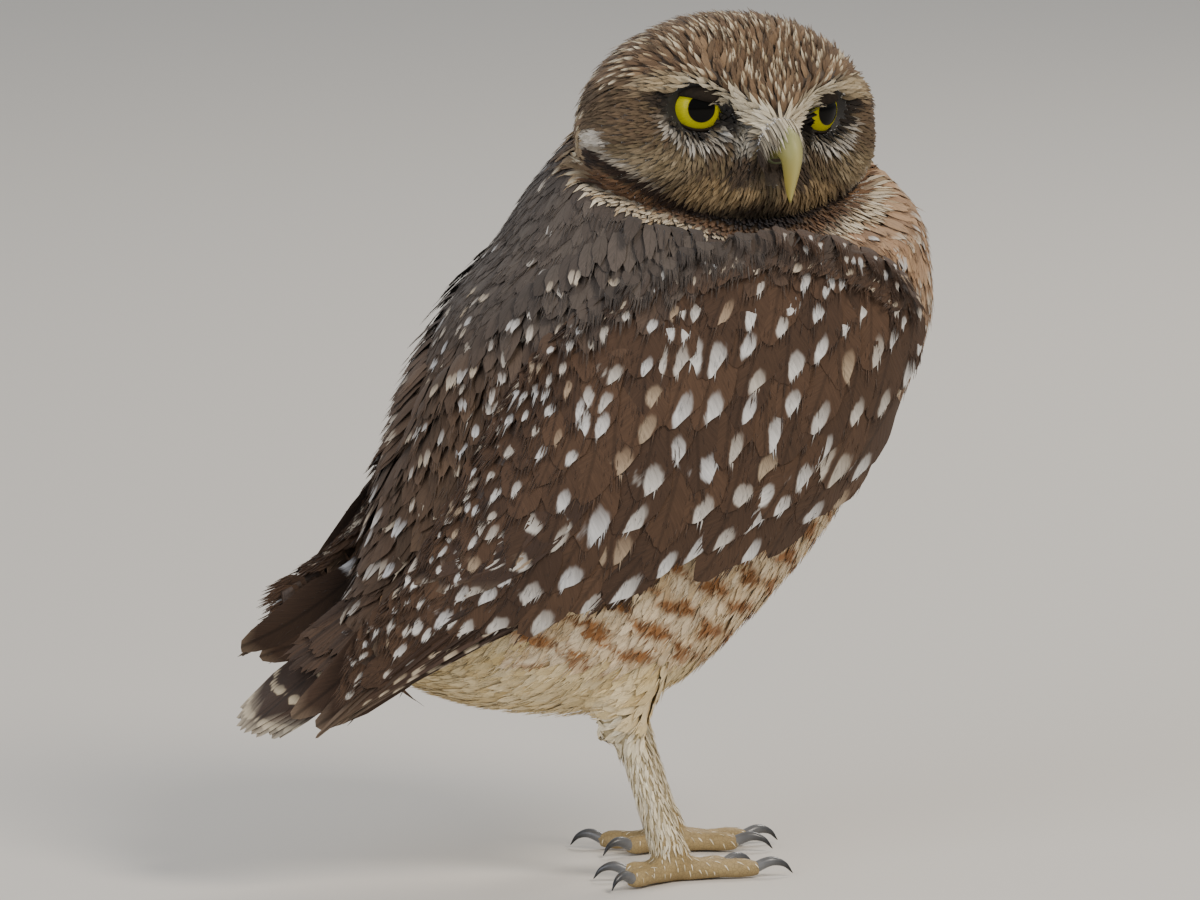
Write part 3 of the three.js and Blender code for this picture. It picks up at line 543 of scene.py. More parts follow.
# A feather's form unless its tract gives another: tip is its width at the end, as a share; rounding
# and ragged shorten its edges; camber and roll bend it; barbs are loose ones over its outer part,
# each barb mm long, thin mm wide and up to loose mm proud.
LEAF_FORM = dict(
    columns=5, tip=0.75, rounding=0.3, ragged=0.08, camber=0.14, roll=0.0, thick=0.22,
    barbs=0, barbs_from=0.45, barb=2.6, thin=0.17, loose=0.3,
)
TIP_ROUNDNESS = 2.4
BARB_SLANT = 0.22
BARB_SINK = 0.03


def leaf_width(t, tip):
    """The share of a feather's full width at each share of its length."""
    return (0.5 + 0.5 * smooth(t, 0, 0.4)) * (1 - (1 - tip) * smooth(t, 0.55, 1))


def spread_and_rise(half, heights, reach, web, form):
    """How far a point of a leaf lies aside of its line and over it, by its place on the web."""
    half = half[:, None, None]
    width = half * leaf_width(np.minimum(reach, 1), form["tip"]) * web
    rise = heights[:, :1, None] + (heights[:, 1:, None] - heights[:, :1, None]) * reach**0.7
    return width, rise - form["camber"] * half * web**2 + form["roll"] * width


def on_patch(vane):
    """The place of a leaf's points on its own small patch of the unwrap."""
    return (vane[..., :2] * (0.5, 1) - (0, 0.5)) * PATCH_ON_UNWRAP


def between(values, place):
    """Values of each leaf's line at places that are counted in its steps."""
    low = np.clip(place.astype(int), 0, values.shape[1] - 2)
    part = (place - low)[..., None]
    row = np.arange(len(values))[:, None, None]
    return values[row, low] * (1 - part) + values[row, low + 1] * part


# A leaf's mark is the middle and half size of its spot over its web, then along its length. The
# first lies off the feather; the second, a leaf's own unless it has another, pales only its root.
NO_SPOT = (9, 1, 0.1, 0.1)
PALE_ROOT = (9.0, 9.0, 0.1, 0.1)
WHITE_TINT = (1.0, 1.0, 1.0, 1.0)


class Plumage:
    """The joined leaves of one tract and what is painted on each."""

    def __init__(self, name):
        self.name, self.parts = name, []

    def grow(
        self, line, outs, across, half, heights, bake, coat, rng,
        mark=PALE_ROOT, tint=WHITE_TINT, lop=0.0, **form,
    ):
        """Adds leaves along the middle lines; heights are those of root and tip over the line."""
        count, rings = line.shape[:2]
        form = {**LEAF_FORM, **form}
        columns = form["columns"]
        c = np.linspace(-1, 1, columns)
        t = np.linspace(0, 1, rings)
        half, heights = np.broadcast_to(half, count), np.asarray(heights, float)
        heights = np.broadcast_to(heights, (count, 2)) if heights.ndim == 1 else heights
        ends = 1 - form["rounding"] * np.abs(c) ** TIP_ROUNDNESS
        ends = ends - form["ragged"] * rng.random((count, columns))
        reach = t[None, :, None] * ends[:, None]
        place = reach * (rings - 1)
        width, rise = spread_and_rise(half, heights, reach, c, form)
        top = (
            between(line, place)
            + between(across, place) * width[..., None]
            + between(outs, place) * rise[..., None]
        )
        thick = (form["thick"] * (1 - 0.8 * t))[None, :, None]
        under = top[:, :, columns // 2] - outs * thick
        points = np.concatenate([top, under[:, :, None]], 2)
        vane = np.zeros(points.shape)
        vane[:, :, :columns, 0] = c
        vane[:, :, :columns, 1] = reach
        vane[:, :, columns, 1] = t
        vane[..., 2] = rng.random(count)[:, None, None]
        paint = {
            "coat": np.column_stack([np.broadcast_to(coat, (count, 3)), np.broadcast_to(lop, count)]),
            "mark": np.broadcast_to(np.asarray(mark, float), (count, 4)),
            "tint": np.broadcast_to(np.asarray(tint, float), (count, 4)),
        }
        uv = bake[:, None, None] + on_patch(vane)
        rim = np.zeros(points.shape[:3], bool)
        rim[:, :, [0, columns - 1]] = True
        rim[:, [0, -1]] = True
        if form["barbs"]:
            self.fray(line, outs, across, half, heights, bake, paint, vane[:, 0, 0, 2], rng, form)
        self.join(points, (count, rings, columns + 1), vane, uv, rim, paint)

    def join(self, points, grid, vane, uv, rim, paint):
        """Keeps a set of leaves, with each leaf's paint given to all of its points."""
        part = dict(points=points.reshape(-1, 3), grid=grid, vane=vane.reshape(-1, 3))
        part.update(uv=uv.reshape(-1, 2), rim=rim.ravel())
        for key, values in paint.items():
            part[key] = np.repeat(values, grid[1] * grid[2], axis=0)
        self.parts.append(part)

    def fray(self, line, outs, across, half, heights, bake, paint, leaf, rng, form):
        """Loose barbs over the outer half of each leaf, marked by their place on it."""
        count, rings = line.shape[:2]
        number, steps = form["barbs"], np.array([0, 0.5, 1])
        u = rng.uniform(-0.95, 0.95, (count, number, 1))
        start = rng.uniform(form["barbs_from"], 0.97, (count, number, 1))
        start = start * (1 - form["rounding"] * np.abs(u) ** TIP_ROUNDNESS)
        span = np.linalg.norm(np.diff(line, axis=1), axis=-1).sum(1)[:, None, None]
        reach = start + form["barb"] * rng.uniform(0.7, 1.2, (count, number, 1)) / span * steps
        u = u * (1 + BARB_SLANT * steps)
        at, aside, out = (between(values, reach * (rings - 1)) for values in (line, across, outs))
        width, rise = spread_and_rise(half, heights, reach, u, form)
        rise = rise + form["loose"] * rng.uniform(0.2, 1, (count, number, 1)) * steps**1.5 - BARB_SINK
        middle = (at + aside * width[..., None] + out * rise[..., None])[:, :, :, None]
        c, thin = np.array([-1.0, 0, 1]), form["thin"] * np.array([1, 0.85, 0.15])[:, None]
        sag = thin * 0.4 * c**2
        top = middle + aside[:, :, :, None] * (thin * c)[..., None] - out[:, :, :, None] * sag[..., None]
        points = np.concatenate([top, middle - out[:, :, :, None] * (thin * 0.7)[..., None]], 3)
        vane = np.zeros(points.shape)
        vane[..., 0] = u[..., None] + np.array([-0.03, 0, 0.03, 0])
        vane[..., 1] = np.minimum(reach, 0.998)[..., None]
        vane[..., 2] = leaf[:, None, None, None]
        shade = np.exp(rng.normal(0, 0.1, (count * number, 1)))
        paint = {key: np.repeat(values, number, axis=0) for key, values in paint.items()}
        paint["coat"][:, :3] = np.clip(paint["coat"][:, :3] * shade, 0, 1)
        paint["tint"][:, :3] = np.clip(paint["tint"][:, :3] * shade**0.5, 0, 1)
        uv = bake[:, None, None, None] + on_patch(vane)
        rim = np.zeros(vane.shape[:-1], bool)
        self.join(points, (count * number, len(steps), 4), vane, uv, rim, paint)

    def piece(self, material, slot, *nodes):
        """Joins the leaves into one mesh with their markings and their unwrap."""
        faces, start = [], 0
        for part in self.parts:
            count, rings, ring = part["grid"]
            k, j = np.meshgrid(np.arange(rings - 1), np.arange(ring), indexing="ij")
            a, b = k * ring + j, k * ring + (j + 1) % ring
            sides = np.stack([a, b, b + ring, a + ring], -1).reshape(-1, 4)
            fan = np.array([(ring - 1, j, j + 1, j + 2) for j in range(0, ring - 3, 2)])
            one = np.vstack([sides, fan[:, ::-1], fan + (rings - 1) * ring])
            leaf = start + np.arange(count)[:, None, None] * rings * ring
            faces.append((one[None] + leaf).reshape(-1, 4))
            start += count * rings * ring
        faces = np.vstack(faces)[:, ::-1]
        keys = ("points", "vane", "uv", "rim", "coat", "mark", "tint")
        joined = {key: np.concatenate([p[key] for p in self.parts]) for key in keys}
        mesh = bpy.data.meshes.new(self.name)
        mesh.vertices.add(len(joined["points"]))
        mesh.vertices.foreach_set("co", to_frame(joined["points"]).astype(np.float32).ravel())
        mesh.loops.add(faces.size)
        mesh.loops.foreach_set("vertex_index", faces.astype(np.int32).ravel())
        mesh.polygons.add(len(faces))
        mesh.polygons.foreach_set("loop_start", np.arange(len(faces), dtype=np.int32) * 4)
        mesh.update(calc_edges=True)
        mesh.shade_smooth()
        edges = np.zeros(len(mesh.edges) * 2, np.int32)
        mesh.edges.foreach_get("vertices", edges)
        sharp = mesh.attributes.new("sharp_edge", "BOOLEAN", "EDGE")
        sharp.data.foreach_set("value", joined["rim"][edges.reshape(-1, 2)].all(1))
        for key in ("vane", "coat", "mark", "tint"):
            note_points(mesh, key, joined[key])
        bake = mesh.uv_layers.new(name="OFBake")
        bake.data.foreach_set("uv", (joined["uv"][faces.ravel()] % 1.0).astype(np.float32).ravel())
        piece = bpy.data.objects.new(self.name, mesh)
        bpy.context.scene.collection.objects.link(piece)
        piece.data.materials.append(material)
        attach(piece, "root")
        if nodes:
            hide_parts(*nodes)
        print(self.name, "triangles", len(faces) * 2)
        return piece


def shades(rng, count, *hexes, spread=0.12):
    """A colour for each feather, picked between the given ones and made lighter or darker."""
    ends = np.array([linear(h) for h in hexes])
    place = rng.random(count) * (len(ends) - 1)
    i = np.minimum(place.astype(int), max(len(ends) - 2, 0))
    f = (place - i)[:, None]
    mixed = ends[i] * (1 - f) + ends[np.minimum(i + 1, len(ends) - 1)] * f
    return np.clip(mixed * np.exp(rng.normal(0, spread, (count, 1))), 0, 1)


# Noise over a vane runs in its own measures: streaks along it, then across it and by leaf.
BARB_GRAIN = (1.3, 61.0)
BLOT_GRAIN = (5.0, 2.2, 37.0)
BARB_DEPTH = 0.0002


def barbed(name, roughness, streaks, shaft, barb_depth=BARB_DEPTH, fringe=None):
    """Feather vane: keratin barbs in fine slanting streaks, which part the light into a dull silky
    grain, on a darker shaft, with spots or bars in the barbs' own pigment. Real barbs are 0.3 mm
    apart, too fine to show, so the streaks, counted along a feather, are 0.4 mm apart on the body
    and about 1 mm on the long feathers of wing and tail."""
    material, tree, shader = finish_named(
        name, roughness, Specular_IOR_Level=0.2, Sheen_Weight=0.1, Sheen_Roughness=0.5,
    )
    vane = add(tree, "Attribute", attribute_name="vane")
    coat = add(tree, "Attribute", attribute_name="coat")
    mark = add(tree, "Attribute", attribute_name="mark")
    tint = add(tree, "Attribute", attribute_name="tint")
    u, v, leaf = add(tree, "SeparateXYZ", {"Vector": vane.outputs["Vector"]}).outputs
    spot = add(tree, "SeparateColor", {"Color": mark.outputs["Color"]})
    away = add(tree, "Math", {0: u}, operation="ABSOLUTE").outputs[0]
    # Barbs leave the shaft at a slant, so their lines are at even v less a share of the way out.
    slant = add(tree, "Math", {0: away, 1: -0.3, 2: v}, operation="MULTIPLY_ADD").outputs[0]
    grain = add(tree, "CombineXYZ", {"X": slant, "Y": u, "Z": leaf})
    barb_place = add(
        tree, "VectorMath", {0: grain.outputs[0], 1: (streaks, *BARB_GRAIN)}, operation="MULTIPLY",
    )
    barbs = add(
        tree, "TexNoise",
        {"Vector": barb_place.outputs[0], "Scale": 1.0, "Detail": 2.0, "Roughness": 0.7},
    )
    blot_place = add(tree, "VectorMath", {0: grain.outputs[0], 1: BLOT_GRAIN}, operation="MULTIPLY")
    blots = add(tree, "TexNoise", {"Vector": blot_place.outputs[0], "Scale": 1.0, "Detail": 1.5})
    # Distance from the middle of the mark, in its own half sizes, with a frayed border.
    web = add(tree, "Math", {0: coat.outputs["Alpha"], 1: u, 2: away}, operation="MULTIPLY_ADD")
    repeat = add(tree, "Math", {0: v, 1: tint.outputs["Alpha"]}, operation="MULTIPLY")
    again = add(tree, "Math", {0: repeat.outputs[0]}, operation="FRACT")
    off = add(tree, "CombineXYZ", {"X": web.outputs[0], "Y": again.outputs[0]})
    middle = add(tree, "CombineXYZ", {"X": spot.outputs[0], "Y": spot.outputs[2]})
    size = add(tree, "CombineXYZ", {"X": spot.outputs[1], "Y": mark.outputs["Alpha"], "Z": 1.0})
    offset = add(tree, "VectorMath", {0: off.outputs[0], 1: middle.outputs[0]}, operation="SUBTRACT")
    scaled = add(tree, "VectorMath", {0: offset.outputs[0], 1: size.outputs[0]}, operation="DIVIDE")
    far = add(tree, "VectorMath", {0: scaled.outputs[0]}, operation="LENGTH")
    blotted = {0: blots.outputs["Fac"], 1: 0.9, 2: far.outputs["Value"]}
    worn = add(tree, "Math", blotted, operation="MULTIPLY_ADD")
    frayed = {0: barbs.outputs["Fac"], 1: 0.4, 2: worn.outputs[0]}
    worn = add(tree, "Math", frayed, operation="MULTIPLY_ADD")
    painted = add(
        tree, "MapRange",
        {"Value": worn.outputs[0], "From Min": 1.4, "From Max": 1.8, "To Min": 1.0, "To Max": 0.0},
        interpolation_type="SMOOTHSTEP",
    )
    # A spot is palest at its outer end and takes up the feather's brown towards the root.
    rootward = add(tree, "SeparateXYZ", {"Vector": scaled.outputs[0]})
    stained = add(
        tree, "MapRange",
        {"Value": rootward.outputs[1], "From Min": -1.0, "From Max": 0.3, "To Min": 0.72, "To Max": 0.0},
    )
    tinted = add(
        tree, "Mix",
        {0: stained.outputs["Result"], 6: tint.outputs["Color"], 7: coat.outputs["Color"]},
        data_type="RGBA",
    )
    base = add(
        tree, "Mix",
        {0: painted.outputs["Result"], 6: coat.outputs["Color"], 7: tinted.outputs[2]},
        data_type="RGBA",
    ).outputs[2]
    if fringe:
        edge = add(tree, "Math", {0: away, 1: 0.12, 2: v}, operation="MULTIPLY_ADD")
        tipwards = add(
            tree, "MapRange",
            {"Value": edge.outputs[0], "From Min": 0.88, "From Max": 1.04, "To Max": fringe[1]},
        )
        base = add(
            tree, "Mix", {0: tipwards.outputs["Result"], 6: base, 7: opaque(fringe[0])}, data_type="RGBA",
        ).outputs[2]
    # The barb streaks scale the colour itself between 0.78 and 1.22: the barbs' grain with a painted silky
    # sheen along them.
    light = add(
        tree, "MapRange",
        {"Value": barbs.outputs["Fac"], "From Min": 0.25, "From Max": 0.75, "To Min": 0.78, "To Max": 1.22},
    )
    stem = add(
        tree, "MapRange", {"Value": away, "From Min": 0.03, "From Max": 0.11, "To Min": shaft, "To Max": 1.0},
    )
    total = add(tree, "Math", {0: light.outputs["Result"], 1: stem.outputs["Result"]}, operation="MULTIPLY")
    colour = add(tree, "VectorMath", {0: base, "Scale": total.outputs[0]}, operation="SCALE")
    relief = add(tree, "Bump", {"Height": barbs.outputs["Fac"], "Strength": 0.5, "Distance": barb_depth})
    tree.links.new(colour.outputs["Vector"], shader.inputs["Base Color"])
    tree.links.new(relief.outputs["Normal"], shader.inputs["Normal"])
    return material


# The body's vanes are close and dull, with a shaft that hardly shows.
body_vane = barbed("soft_body_vane", 0.8, 22.0, 0.8)

# The face: two shallow discs of fine hair-like feathers round the eyes, cream brows meeting over
# the bill, dark lores, and a dark gap, a brown band and a cream ruff below the cheeks. The
# feathers are 4 mm long, stand loosely, and each has one colour with a darker shaft.
CHEEK_LINE = [
    (0, -17), (6, -17), (13, -14.8), (18, -13), (24, -10.4), (31, -7.2), (37, -3.4), (44, -0.6),
]
BROWN_BAND = 4.2
ROOT_SINK = -0.3
CREAM_BAND = 3.6


def near_place(side, up, at, reach):
    """1 at a place of the face and 0 a reach away from it."""
    away = np.hypot((np.abs(side) - at[0]) / reach[0], (up - at[1]) / reach[1])
    return 1 - smooth(away, 0.6, 1.1)


def face_colours(places, rng):
    """The colour of each face feather from where it grows, in linear values."""
    ahead, side, up = places.T
    count = len(side)
    eye = np.hypot(np.abs(side) - EYE_SPREAD, up - EYE_RISE)
    below = smooth(EYE_RISE - up, 0, 4)
    colour = shades(rng, count, "#493b2c", "#5c4d3b", "#675a42", "#3e3327", spread=0.12)

    def paint(amount, *hexes, spread=0.1):
        nonlocal colour
        amount = np.clip(amount * 1.08 + rng.normal(0, 0.1, count) * (amount > 0.02), 0, 1)[:, None]
        colour = colour * (1 - amount) + shades(rng, count, *hexes, spread=spread) * amount

    outer = smooth(np.abs(side), 21, 30) * smooth(up, -5, 5)
    paint(outer * 0.7, "#5a4837", "#6d5a45", "#4a3c2f")
    paint(near_place(side, up, (11, -9.5), (10, 4.5)) * 0.85, "#836f50", "#968160", "#6b583c")
    paint(near_place(side, up, (25, -4), (9, 4)) * 0.7, "#87775f", "#72644a", "#988a71")
    crescent = smooth(-np.abs(eye - 7.2), -1.8, -0.4) * below
    paint(crescent * 0.7, "#b5b1a8", "#958f84", "#c6c2b9")
    paint(near_place(side, up, (7.2, 1.5), (3.2, 5.4)) * 0.9, "#8b877d", "#5f5a50", "#b0ab9f")
    paint(near_place(side, up, (6.4, -5.0), (4.4, 3.9)) * 0.95, "#332a22", "#4a3d30", "#221c17")
    paint(near_place(side, up, (10.6, 5.8), (2.6, 3.8)), "#1b1714", "#26201b")
    paint(near_place(side, up, (23.8, 9.0), (3.0, 2.2)) * 0.9, "#231d18", "#352c24")
    paint(smooth(-eye - 1.4 * below, -7.3, -6.5), "#1b1714", "#28221d")
    paint(smooth(-eye, -8.0, -7.0) * smooth(up - EYE_RISE, 3, 4.5) * 0.9, "#4a3c2e", "#382d23")
    bridge = near_place(side, up, (0, 4.5), (4.0, 5.0))
    brow = smooth(-np.abs(from_line(BROW_LINE, side, up) + 0.5), -2.2, -1.2)
    brow = brow * smooth(-np.abs(side), -30, -24) * (1 - 0.35 * smooth(np.abs(side), 14, 24))
    paint(brow, "#b9a788", "#a69373", "#c9bb9f", spread=0.06)
    palest = np.maximum(brow * smooth(-np.abs(side), -22, -10), bridge * 0.95)
    paint(palest, "#d2c7ae", "#c5b99f", "#dcd3bf", spread=0.05)
    cheek = from_line(CHEEK_LINE, side, up)
    white_edge = smooth(-np.abs(cheek - 1.5), -1.5, -0.7) * smooth(np.abs(side), 21, 30)
    side_spot = near_place(side, up, (36.5, -0.8), (2.5, 2.4))
    paint(np.maximum(white_edge * 0.4, side_spot), "#c3bbae", "#aca292")
    paint(smooth(-np.abs(cheek + 0.2), -1.7, -0.8), "#241913", "#35261c", "#1b130e")
    paint(smooth(-cheek, 1.2, 2.4), "#6a4d36", "#7d5f44", "#523a28")
    paint(smooth(-cheek, BROWN_BAND - 0.4, BROWN_BAND + 0.8), "#cdbb9b", "#e0d5bf", "#b39b78", spread=0.08)
    return colour


ahead, side, up = patch_head.T
above_brow = from_line(BROW_LINE, side, up)
below_cheek = -from_line(CHEEK_LINE, side, up)
in_front = ahead > -4
eye_away = np.hypot(np.abs(side) - EYE_SPREAD, up - EYE_RISE)
under_bill = (np.abs(side) < 2.0) & (up < 3.5) & (up > -8) & (ahead > 10)
is_face = patch_on_head & in_front & (above_brow < 1.6) & (below_cheek < BROWN_BAND + CREAM_BAND)
is_face &= (eye_away > np.where(up < EYE_RISE - 1.5, 4.8, 5.6)) & ~under_bill & (np.abs(side) < 41)
rng = np.random.default_rng(11)
# Hair-like vanes: a few soft streaks each, matt, so the face looks like velvet.
fine_vane = barbed("fine_face_vane", 0.85, 9.0, 0.8, barb_depth=0.0001)
face = Plumage("coat_face")
roots, patches = scatter(is_face, np.where(below_cheek > 0.5, 0.85, 0.66), 12)
places = patch_head[patches]
ruff = smooth(-from_line(CHEEK_LINE, places[:, 1], places[:, 2]), 2, 5)
brow = smooth(-np.abs(from_line(BROW_LINE, places[:, 1], places[:, 2]) + 0.5), -2.4, -1.2)
close = near_place(places[:, 1], places[:, 2], (7, 1), (4.5, 6))
corner = near_place(places[:, 1], places[:, 2], (10.8, 5.0), (2.6, 5.0))
under_eye = near_place(places[:, 1], places[:, 2], (EYE_SPREAD, EYE_RISE - 5.5), (6.5, 3.0))
length = rng.uniform(3.0, 4.8, len(roots)) * (1 + 0.6 * ruff + 0.3 * brow) * (1 - 0.35 * close)
line, outs, across = laid(roots, patches, length, 3, rng, stray=0.13)
half = rng.uniform(0.24, 0.42, len(roots)) * (1 + 0.4 * ruff + 0.3 * brow + 0.9 * corner)
lift = rng.uniform(0.9, 1.4, len(roots)) + 0.9 * brow + 0.4 * ruff + 2.4 * corner + 0.6 * under_eye
face.grow(
    line, outs, across, half, np.column_stack([np.full(len(roots), ROOT_SINK), lift]),
    unwrapped(patches), face_colours(places, rng), rng,
    columns=3, rounding=0.35, ragged=0.2, tip=0.3, thick=0.13,
)
face.piece(fine_vane, "plumage")

# The crown and the sides of the head: short brown feathers lying back from the brows, many with a
# cream streak at the tip, small and close on the forehead and longer towards the nape.
# The crown's browns are made lighter than its own colour, for the light that falls on the top of the head:
# painted light.
CROWN_BROWNS = ("#5e4a38", "#705a44", "#836c53", "#4f3f31")
CREAM = "#dacbad"
is_crown = patch_on_head & ~is_face & ((above_brow >= 1.4) | (ahead <= -4)) & (below_cheek < 9)
is_crown &= (eye_away > 6.2) | (ahead < 0)
rng = np.random.default_rng(21)
crown = Plumage("coat_crown")
back = smooth(-patch_head[:, 0], -8, 18)
roots, patches = scatter(is_crown, 1.12 + 0.95 * back, 22)
places, back = patch_head[patches], back[patches]
count = len(roots)
length = (4.6 + 4.4 * back) * rng.uniform(0.85, 1.2, count)
half = (0.72 + 1.1 * back) * rng.uniform(0.85, 1.15, count)
line, outs, across = laid(roots, patches, length, 4, rng, stray=0.12)
brown = shades(rng, count, *CROWN_BROWNS, spread=0.12)
side_head = smooth(-places[:, 2], -12, 0) * smooth(np.abs(places[:, 1]), 20, 30)
buff = (rng.random(count) < 0.55 * side_head)[:, None]
brown = np.where(buff, shades(rng, count, "#8b7558", "#a08a6c", spread=0.1), brown)
marked = rng.random(count) < 0.5 - 0.16 * back
mark = np.column_stack([
    np.zeros(count), rng.uniform(0.42, 0.68, count), rng.uniform(0.68, 0.78, count),
    rng.uniform(0.2, 0.32, count),
])
mark[~marked] = NO_SPOT
tint = np.column_stack([shades(rng, count, CREAM, "#cfc3a9", "#ab9876", spread=0.08), np.ones(count)])
crown.grow(
    line, outs, across, half, np.column_stack([np.full(count, ROOT_SINK), rng.uniform(1.2, 1.7, count)]),
    unwrapped(patches), brown, rng, mark=mark, tint=tint, rounding=0.3, ragged=0.2, tip=0.5, thick=0.14,
    barbs=3, barb=2.0, thin=0.14, loose=0.25,
)
crown.piece(body_vane, "plumage")

# The eyes: balls with a yellow iris, finely lined from the pupil and edged in black, under a
# clear cornea that bulges. They are set in the head under the lids, turned a little outwards.
PUPIL_HALF = 3.1
IRIS_REACH = 10
EYE_SIDES, EYE_RINGS = 64, 56
CORNEA_EDGE = (17, 48)


def eye_axes(side):
    """The eye's own middle and its three directions, the first looking out."""
    turn = HEAD_AXES @ turned("z", side * EYE_TURN_OUT)
    apex = on_head(EYE_FRONT, side * EYE_SPREAD, EYE_RISE)
    return apex - turn[:, 0] * (EYE_BALL + CORNEA_BULGE), turn


# A wet cornea over the iris: sharp small highlights over a lined yellow, without a milky veil.
eye_material, tree, shader = finish_named(
    "wet_cornea_over_iris", 0.05, Specular_IOR_Level=0.16, IOR=1.38,
)
ring = add(tree, "Attribute", attribute_name="iris")
spots = add(tree, "SeparateXYZ", {"Vector": ring.outputs["Vector"]})
lines = add(tree, "CombineXYZ", {"X": spots.outputs[1], "Y": spots.outputs[0]})
fibres = add(tree, "TexNoise", {"Vector": lines.outputs[0], "Scale": 5.0, "Detail": 3.0})
yellow = add(
    tree, "Mix", {0: fibres.outputs["Fac"], 6: opaque("#8f8a08"), 7: opaque("#d2cb12")},
    data_type="RGBA",
)
profile = add(tree, "ValToRGB", {"Fac": spots.outputs[0]})
stops = profile.color_ramp.elements
stops[0].position, stops[0].color = 0.0, (0, 0, 0, 1)
stops[1].position, stops[1].color = 1.0, (0, 0, 0, 1)
pupil = PUPIL_HALF / IRIS_REACH
levels = (
    (pupil - 0.006, 0.0), (pupil + 0.012, 0.75), (0.4, 1.0), (0.56, 0.9), (0.605, 0.3), (0.62, 0.0),
)
for place, level in levels:
    stops.new(place).color = (level, level, level, 1)
iris = add(
    tree, "Mix", {0: profile.outputs["Color"], 6: opaque("#070605"), 7: yellow.outputs[2]},
    data_type="RGBA",
)
tree.links.new(iris.outputs[2], shader.inputs["Base Color"])
for name, side in SIDES.items():
    middle, axes = eye_axes(side)
    turn = np.linspace(0, 2 * np.pi, EYE_SIDES, endpoint=False)
    off = np.radians(np.linspace(0.6, 179.4, EYE_RINGS))
    radius = EYE_BALL + CORNEA_BULGE * (1 - smooth(np.degrees(off), *CORNEA_EDGE))
    local = np.stack(
        [
            np.cos(off)[:, None] * np.ones(EYE_SIDES),
            np.sin(off)[:, None] * np.cos(turn),
            np.sin(off)[:, None] * np.sin(turn),
        ],
        -1,
    ) * radius[:, None, None]
    points, faces = loft(local @ axes.T + middle)
    ball = new_piece(f"eyeball_{name}", points, faces)
    flat = np.concatenate([local.reshape(-1, 3), [[9, 0, 0], [-9, 0, 0]]])
    out = np.hypot(flat[:, 1], flat[:, 2]) / IRIS_REACH
    out[flat[:, 0] < 0] = 1
    iris_place = np.column_stack([out, np.arctan2(flat[:, 2], flat[:, 1]) * 6, np.zeros(len(flat))])
    note_points(ball.data, "iris", iris_place)
    ball.data.materials.append(eye_material)
    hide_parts(f"eye_{name}")

# The eyelids: a bare black-grey rim round each eye, cut flat above, where the upper lid hangs
# over the iris under the brow and slopes down towards the bill, and rounder below.
# How far they reach is in degrees round the ball from where the eye looks.
LID_OPEN_SIDE = 54
LID_OPEN_DOWN = 31
LID_CUT = 10.8
LID_CUT_SLOPE = 0.2
LID_WIDTH = 8
LID_REACH = 50
LID_LOWER_REACH = 41
LID_SIDES = 72
# Its section from the opening outwards and back beneath: the share of its width, and the height.
LID_SECTION = [
    (0, 0.08), (0.0, 0.3), (0.2, 0.5), (0.45, 0.5), (0.75, 0.35), (1, 0.05), (1, -0.6), (0.5, -0.3),
]
LID_WRINKLE = 0.0009
# Bare eyelid skin: fine wrinkles in dull black grey, so the rim reads as a soft dark line.
lid_material, tree, shader = finish_named("bare_eyelid_skin", 0.8, Specular_IOR_Level=0.12)
where = add(tree, "TexCoord")
wrinkles = add(
    tree, "TexNoise", {"Vector": where.outputs["Object"], "Scale": 1 / LID_WRINKLE, "Detail": 3.0},
)
lid_shade = add(
    tree, "Mix", {0: wrinkles.outputs["Fac"], 6: opaque("#120f0c"), 7: opaque("#2d251d")},
    data_type="RGBA",
)
lid_relief = add(tree, "Bump", {"Height": wrinkles.outputs["Fac"], "Strength": 0.5, "Distance": 0.0002})
tree.links.new(lid_shade.outputs[2], shader.inputs["Base Color"])
tree.links.new(lid_relief.outputs["Normal"], shader.inputs["Normal"])
for name, side in SIDES.items():
    middle, axes = eye_axes(side)
    turn = np.linspace(0, 2 * np.pi, LID_SIDES, endpoint=False)
    oval = 1 / np.hypot(np.cos(turn) / LID_OPEN_SIDE, np.sin(turn) / LID_OPEN_DOWN)
    rising = np.sin(turn) - LID_CUT_SLOPE * side * np.cos(turn)
    flat = np.where(rising > 0.05, LID_CUT / np.maximum(rising, 0.05), 90)
    opening = (oval**-6 + flat**-6) ** (-1 / 6)
    overhang = smooth(np.sin(turn), 0.1, 0.8)
    widest = LID_REACH + (LID_LOWER_REACH - LID_REACH) * smooth(-np.sin(turn), -0.3, 0.6)
    rings = []
    for share, height in LID_SECTION:
        off = opening + np.maximum(LID_WIDTH, widest - opening) * share
        ball_radius = EYE_BALL + CORNEA_BULGE * (1 - smooth(off, *CORNEA_EDGE))
        radius = ball_radius + height * (1 + 0.9 * overhang * (height > 0.1))
        off = np.radians(off)
        ring = np.stack([np.cos(off), np.sin(off) * np.cos(turn), np.sin(off) * np.sin(turn)], -1)
        rings.append(ring * radius[:, None])
    rings = np.stack(rings)
    count = len(rings)
    r, k = np.meshgrid(np.arange(count), np.arange(LID_SIDES), indexing="ij")
    here, there, beside = r * LID_SIDES, (r + 1) % count * LID_SIDES, (k + 1) % LID_SIDES
    faces = np.stack([here + k, here + beside, there + beside, there + k], -1)
    lid = new_piece(f"lid_{name}", rings.reshape(-1, 3) @ axes.T + middle, faces.reshape(-1, 4).tolist())
    lid.data.materials.append(lid_material)

# The bill: a hooked sheath of horn, olive green at its root and yellow on the ridge and tip, with
# the small lower half closed under it. The ridge is painted paler still, partly its own yellow and
# partly painted light where the top of the bill is lit. Its soft base is hidden by bristles and isn't
# modelled.
BILL_RIDGE = [(15, 6.5), (25, 4.6), (29.3, -1.4), (27.6, -11.8)]
LOWER_RIDGE = [(14, -8.4), (17.0, -9.0), (19.2, -9.0)]


